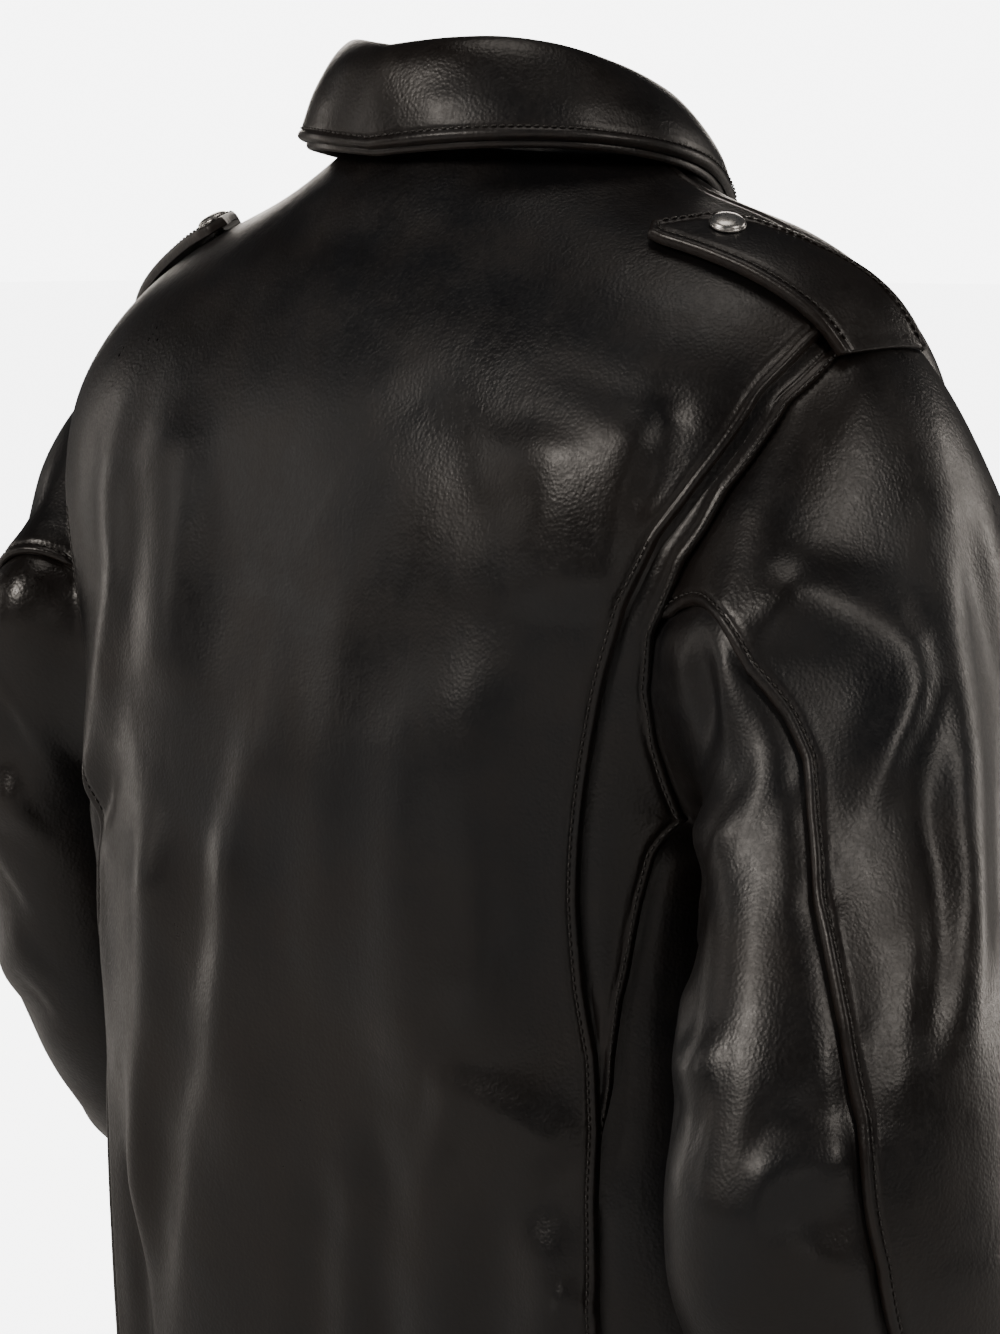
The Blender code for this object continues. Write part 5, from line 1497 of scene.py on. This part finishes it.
def zip_body(name, surface, a, b, half, lift, n_rows=40, flip=False, ride_on="jacket_body", nodes=(), frame_half=0.0062, rim=True):
    k = np.linspace(0, 1, n_rows)
    u, v = a[0] + (b[0] - a[0]) * k, a[1] + (b[1] - a[1]) * k
    c = surface(u, v)
    n = unit(normals(surface, u, v, flip=flip))
    parts = tape(name, c, n, half, lift, gap=0.0003)
    for j, (o, i) in enumerate(parts):
        obj = shell("%s_tape_%d" % (name, j + 1), o, i, TAPE_MAT)
        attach(obj, ride_on)
    if nodes:
        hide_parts(*nodes)
    rows = [zip_row(c, n, half, side=1, lift=lift + 0.0010), zip_row(c, n, half, side=-1, lift=lift + 0.0010)]
    obj = teeth_piece(name + "_teeth", rows)
    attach(obj, ride_on)
    if rim:
        obj, stitch_path, nn = leather_frame(name + "_welt", c, n, frame_half, lift + 0.0002, ride_on)
        stitch_line("welts_" + ride_on, stitch_path, nn, pitch=0.0030, length=0.0024, radius=0.00028)
    return c, n


# main zip
rows_z = np.linspace(0.484, 0.9990, 222)
centre = zip_line(rows_z)
zc = body(centre, rows_z)
zn = unit(normals(body, centre, rows_z))
for s, tag in ((1, "right"), (-1, "left")):
    o, i = tape("main", zc, zn, 0.0115, 0.0004, sides=(-s if s > 0 else 1,), gap=0.0)[0]
    obj = shell("main_zip_%s_tape" % tag, o, i, TAPE_MAT)
    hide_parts("main_zip_" + tag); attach(obj, "jacket_body")
obj = teeth_piece("main_zip_teeth", [zip_row(zc, zn, 0.0075, side=1, lift=0.0012), zip_row(zc, zn, 0.0075, side=-1, lift=0.0012)])
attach(obj, "jacket_body")
slider_pair("main_zip", body, (float(zip_line(0.515)), 0.515), (float(zip_line(0.60)), 0.60), 0.0012, "main_zip_slider_body", "main_zip_pull_body")

# hand pockets and their bags
for side, tag in ((1, "right"), (-1, "left")):
    a, b = (side * 128.0, 0.700), (side * 141.0, 0.865)
    zip_body("pocket_zip_" + tag, body, a, b, 0.0066, 0.0020, 70, nodes=("pocket_zip_" + tag,))
    at = (a[0] + (b[0] - a[0]) * 0.14, a[1] + (b[1] - a[1]) * 0.14)
    slider_pair("pocket_" + tag, body, at, b, 0.0036, "pocket_%s_slider_body" % tag, "pocket_%s_pull_body" % tag)
    p0, p1 = sorted((side * 121.0, side * 149.0))

    def bag(u, v, p):
        k = np.clip(np.minimum(np.minimum(v - 0.70, 0.92 - v) / 0.03, 1.0), 0, 1)
        return 0.0005 * value_noise(p, 0.02, 81) - 0.0004 * (1 - k)
    obj, info = leather_panel("pocket_bag_%s_cotton" % tag, body, const(p0), const(p1), 0.70, 0.92, LINING_MAT, step=0.004, thick=0.0012, lift=-0.0046, relief=bag)
    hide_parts("pocket_bag_" + tag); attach(obj, "jacket_body")

# chest pocket
a, b = (-126.0, 0.500), (-144.0, 0.575)
zip_body("chest_zip", body, a, b, 0.0066, 0.0020, 60, nodes=("chest_zip",))
slider_pair("chest", body, (a[0] + (b[0] - a[0]) * 0.16, a[1] + (b[1] - a[1]) * 0.16), b, 0.0036, "chest_slider_body", "chest_pull_body")

# cuff zips
for side, tag in ((-1, "right"), (1, "left")):
    surf = arm(side)
    fl = side < 0
    zip_body("cuff_zip_" + tag, surf, (25.0, 0.990), (25.0, 0.800), 0.0060, 0.0036, 60, flip=fl, ride_on="sleeve_" + tag, nodes=("cuff_zip_" + tag,), frame_half=0.0058)
    slider_pair("cuff_" + tag, surf, (25.0, 0.915), (25.0, 0.990), 0.0052, "cuff_%s_slider_body" % tag, "cuff_%s_pull_body" % tag, flip=fl)


# ---------------------------------------------------------------- belt
BELT_Z0, BELT_Z1 = 0.016, 0.054


def z_to_t(z):
    return np.interp(-np.asarray(z, float), -RINGS[5:, 5], RINGS[5:, 0])


def belt_part(name, lo, hi, z0, z1, lift, thick, cad, step=0.003, tip=None):
    t0, t1 = float(z_to_t(z1)), float(z_to_t(z0))
    n = max(8, int(abs(hi - lo) * 0.0036 / step))
    e = NEAR[:10] / 0.0036
    uu = np.concatenate([lo + e, np.linspace(lo + e[-1], hi - e[-1], n)[1:-1], (hi - e)[::-1]])
    L = z1 - z0
    f = NEAR[:10] / L
    vv = np.concatenate([f, np.linspace(f[-1], 1 - f[-1], 14)[1:-1], (1 - f)[::-1]])
    U, V = np.meshgrid(uu, t0 + (t1 - t0) * vv, indexing="ij")
    p = body(U, V)
    n_ = unit(normals(body, U, V))
    D = np.minimum(np.minimum(distance_to(p, p[0]), distance_to(p, p[-1])), np.minimum(distance_to(p, p[:, 0]), distance_to(p, p[:, -1])))
    o1, _ = edge_lift(D, "fold", depth=thick * 0.9)
    wave = 0.0004 * value_noise(p, 0.03, 91)
    up = lift + o1 + wave
    outer, inner = p + n_ * up[..., None], p + n_ * np.minimum(lift + wave - thick, up - 0.0005)[..., None]
    # lightened rim and stitch band: rubbed wear and painted highlight
    obj = shell(name, outer, inner, LEATHER_TRIM, edge=np.maximum(np.exp(-(D / 0.0022) ** 2), 0.35 * np.exp(-((D - 0.005) / 0.003) ** 2)))
    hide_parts(cad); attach(obj, "jacket_body")
    stitch_line("body", outer[7:-7, 7], n_[7:-7, 7])
    stitch_line("body", outer[7:-7, -8], n_[7:-7, -8])
    return outer, n_


bo_r = belt_part("belt_right_strap", 113, 172.5, BELT_Z0, BELT_Z1, 0.0060, 0.0030, "belt_right")
bo_l = belt_part("belt_left_strap", 188.5, 247, BELT_Z0, BELT_Z1, 0.0060, 0.0030, "belt_left")
eyelet = [(0.0020, -0.0002), (0.0021, 0.0005), (0.0026, 0.0008), (0.0034, 0.0006), (0.0037, 0.0000), (0.0036, -0.0004)]


def ring_mesh(profile, seg=28):
    prof = np.array(profile)
    a = np.arange(seg) / seg * 2 * np.pi
    v = np.stack([prof[:, None, 0] * np.cos(a), prof[:, None, 0] * np.sin(a), np.broadcast_to(prof[:, None, 1], (len(prof), seg))], -1).reshape(-1, 3)
    m = len(prof)
    q = np.array([(i * seg + k, i * seg + (k + 1) % seg, ((i + 1) % m) * seg + (k + 1) % seg, ((i + 1) % m) * seg + k) for i in range(m) for k in range(seg)])
    if signed_volume(v, q) < 0:
        q = q[:, ::-1]
    return fast_mesh("ring", v, q)


for k, ph in enumerate((160.0, 155.0, 150.0)):
    t = float(z_to_t(0.035))
    o, ax = frame_on(body, ph, t, ph, t - 0.02, 0.0062)
    obj = put("belt_eyelet_%d" % (k + 1), [ring_mesh(eyelet)], o, ax, NICKEL)
    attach(obj, "jacket_body")
for side, tag in ((1, "right"), (-1, "left")):
    for k, ph in enumerate((118.0, 146.0)):
        p0, p1 = sorted((side * (ph - 2.0), side * (ph + 2.0)))
        belt_part("belt_loop_%s_%d_strap" % (tag, k + 1), p0, p1, 0.008, 0.062, 0.0088, 0.0022, "belt_loop_%s_%d" % (tag, k + 1), step=0.0012)

# buckle: rounded frame with a flattened section, and a tapered prong
BUCKLE_W, BUCKLE_H = 0.050, 0.056
bo, bx = frame_on(body, 180.0, float(z_to_t(0.035)), 180.0, float(z_to_t(0.060)), 0.0125)
outer_r = rounded_rect(BUCKLE_W - 0.0014, BUCKLE_H - 0.0014, 0.0085, 10)
inner_r = rounded_rect(BUCKLE_W - 0.0110, BUCKLE_H - 0.0110, 0.0045, 10, 0, 0, True)
obj = put("buckle_frame_metal", [rounded_plate(outer_r, [inner_r], 0.0042, 0.0016, -0.0021)], bo, bx, NICKEL)
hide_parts("buckle_frame"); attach(obj, "jacket_body")
bar = bo + bx[:, 0] * (BUCKLE_W / 2 - 0.003) + bx[:, 2] * (0.0022 + 0.0020)
k = np.linspace(0, 1, 40)
px = 0.0005 - 0.0440 * k
hw = 0.0018 * np.clip(1 - 0.35 * k, 0.2, 1) * np.sqrt(np.clip((1.02 - k) / 0.06, 0.12, 1)) * np.sqrt(np.clip((k + 0.01) / 0.04, 0.2, 1))
hz = 0.0013 * np.sqrt(np.clip((1.02 - k) / 0.06, 0.2, 1)) * np.sqrt(np.clip((k + 0.01) / 0.04, 0.3, 1))
zc_ = 0.0004 * np.sin(np.pi * k) - 0.0002 * k
seg = 16
a = np.arange(seg) / seg * 2 * np.pi
v = np.stack([np.repeat(px, seg), (hw[:, None] * np.cos(a)).ravel(), (zc_[:, None] + hz[:, None] * np.sin(a)).ravel()], -1)
q = [(i * seg + j, i * seg + (j + 1) % seg, (i + 1) * seg + (j + 1) % seg, (i + 1) * seg + j) for i in range(39) for j in range(seg)]
t = [(0, j + 1, j) for j in range(1, seg - 1)] + [(39 * seg, 39 * seg + j, 39 * seg + j + 1) for j in range(1, seg - 1)]
obj = put("buckle_prong_metal", [fast_mesh("prong", v, q, t)], bar, bx, NICKEL)
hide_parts("buckle_prong"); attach(obj, "prong")

# lapel snaps
for side, tag in ((1, "right"), (-1, "left")):
    uu, vv = np.linspace(0, 1, 11), np.linspace(0, 1, 19)
    p, n, lift, ph = lapel_grid(side, uu, vv)
    g = p + n * lift[..., None]
    c, c2, c3 = g[8, 3], g[9, 3], g[8, 4]
    du, dv = c2 - c, c3 - c
    nn = np.cross(du, dv)
    nn /= np.linalg.norm(nn)
    if nn @ (c - np.array([0, 0, 0.5])) < 0:
        nn = -nn
    x = du / np.linalg.norm(du)
    ax = np.stack([x, np.cross(nn, x), nn], 1)
    obj = put("lapel_snap_%s_cap" % tag, [snap_mesh(0.0145, 0.0034)], c + nn * 0.0008, ax, NICKEL)
    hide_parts("lapel_snap_" + tag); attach(obj, "jacket_body")

# all the thread
for key, name, ride_on in (("body", "stitching_body", "jacket_body"), ("welts_jacket_body", "stitching_pockets", "jacket_body")):
    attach(finish_thread(key, name, THREAD_MAT), ride_on)
for tag, side in (("right", -1), ("left", 1)):
    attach(finish_thread("welts_sleeve_" + tag, "stitching_cuff_" + tag, THREAD_MAT), "sleeve_" + tag)
    obj = finish_thread("sleeve_" + tag, "stitching_sleeve_" + tag, THREAD_MAT)
    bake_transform(obj)


# ---------------------------------------------------------------- floor, backdrop, light, camera
from mathutils import Vector

FLOOR_Z = float(CAD_BOX[0][2]) - 0.0015
m, nt, b = new_material("floor_paper")
v = coords(nt)
nt.links.new(mix_colour(nt, noise(nt, v, 6.0, 2.0), (0.78, 0.78, 0.78), (0.82, 0.82, 0.82)), b.inputs["Base Color"])
b.inputs["Roughness"].default_value = 0.85
nt.links.new(bump(nt, noise(nt, v, 400.0, 2.0), 0.0002, 0.2), b.inputs["Normal"])
glow = nt.nodes.new("ShaderNodeEmission")
glow.inputs["Color"].default_value = (0.965, 0.967, 0.97, 1)
glow.inputs["Strength"].default_value = 6.2
lp = nt.nodes.new("ShaderNodeLightPath")
add = nt.nodes.new("ShaderNodeAddShader")
mx = nt.nodes.new("ShaderNodeMixShader")
nt.links.new(b.outputs[0], add.inputs[0])
nt.links.new(glow.outputs[0], add.inputs[1])
nt.links.new(lp.outputs["Is Camera Ray"], mx.inputs[0])
nt.links.new(b.outputs[0], mx.inputs[1])
nt.links.new(add.outputs[0], mx.inputs[2])
nt.links.new(mx.outputs[0], nt.nodes["Material Output"].inputs["Surface"])
floor_mesh = fast_mesh("floor", [(-30, -30, FLOOR_Z), (30, -30, FLOOR_Z), (30, 30, FLOOR_Z), (-30, 30, FLOOR_Z)], [(0, 1, 2, 3)])
floor = bpy.data.objects.new("floor", floor_mesh)
floor_mesh.materials.append(m)
bpy.context.scene.collection.objects.link(floor)

world = bpy.data.worlds.new("studio")
bpy.context.scene.world = world
world.use_nodes = True
nt = world.node_tree
nt.nodes.clear()
out = nt.nodes.new("ShaderNodeOutputWorld")
soft = nt.nodes.new("ShaderNodeBackground")
pale = nt.nodes.new("ShaderNodeBackground")
soft.inputs["Color"].default_value = (0.62, 0.64, 0.68, 1)
soft.inputs["Strength"].default_value = 0.050
pale.inputs["Color"].default_value = (0.965, 0.967, 0.97, 1)
pale.inputs["Strength"].default_value = 7.0
lp = nt.nodes.new("ShaderNodeLightPath")
mx = nt.nodes.new("ShaderNodeMixShader")
nt.links.new(lp.outputs["Is Camera Ray"], mx.inputs[0])
nt.links.new(soft.outputs[0], mx.inputs[1])
nt.links.new(pale.outputs[0], mx.inputs[2])
nt.links.new(mx.outputs[0], out.inputs["Surface"])

TH, EL, DIST = math.radians(44.0), math.radians(5.0), 2.45
target = np.array([0.011 * math.cos(TH), 0.011 * math.sin(TH), 0.378]) - NAPE
az = math.pi + TH
eye = target + DIST * np.array([math.sin(az) * math.cos(EL), -math.cos(az) * math.cos(EL), math.sin(EL)])
cam_data = bpy.data.cameras.new("camera")
cam_data.lens, cam_data.sensor_width, cam_data.sensor_fit = 143.5, 36.0, "AUTO"
cam_data.clip_start, cam_data.clip_end = 0.05, 100.0
cam = bpy.data.objects.new("camera", cam_data)
cam.location = eye
cam.rotation_euler = (Vector(target) - Vector(eye)).to_track_quat("-Z", "Y").to_euler()
bpy.context.scene.collection.objects.link(cam)
bpy.context.scene.camera = cam

fwd = unit(target - eye)
rgt = unit(np.cross(fwd, [0, 0, 1.0]))
upv = np.cross(rgt, fwd)


def softbox(name, right, up, back, size, power, colour=(1, 1, 1), aim=(0, 0, 0)):
    """Area light placed by its offset from the jacket along the view's right, up and towards the camera."""
    light = bpy.data.lights.new(name, "AREA")
    light.shape, light.size, light.size_y = "RECTANGLE", size[0], size[1]
    light.energy = power
    light.color = colour
    obj = bpy.data.objects.new(name, light)
    pos = target + rgt * right + upv * up - fwd * back
    obj.location = pos
    goal = target + rgt * aim[0] + upv * aim[1] - fwd * aim[2]
    obj.rotation_euler = (Vector(goal) - Vector(pos)).to_track_quat("-Z", "Y").to_euler()
    bpy.context.scene.collection.objects.link(obj)


WARM = (1.0, 0.915, 0.83)
softbox("key_left", -1.5, 1.2, 2.0, (0.35, 1.0), 7.5, WARM)
softbox("key_right", 1.9, 1.2, 1.7, (0.5, 1.2), 13, WARM)
softbox("blade_spot", -1.45, 1.0, 1.35, (0.26, 0.5), 11, WARM)
softbox("side_left", -2.1, 0.4, 0.0, (0.4, 1.0), 2.6, WARM)
softbox("top", 0.1, 2.3, 0.4, (1.0, 0.8), 5, WARM)
softbox("rim_left", -1.9, 0.2, -1.5, (0.4, 1.6), 5, WARM)
softbox("rim_right", 2.1, 0.3, -0.9, (0.3, 1.6), 12, WARM)
softbox("front_low", 0.5, -0.3, 2.8, (0.9, 0.9), 2.2, WARM)
softbox("other_side", 0.0, 1.2, -3.0, (1.8, 1.4), 38, WARM)
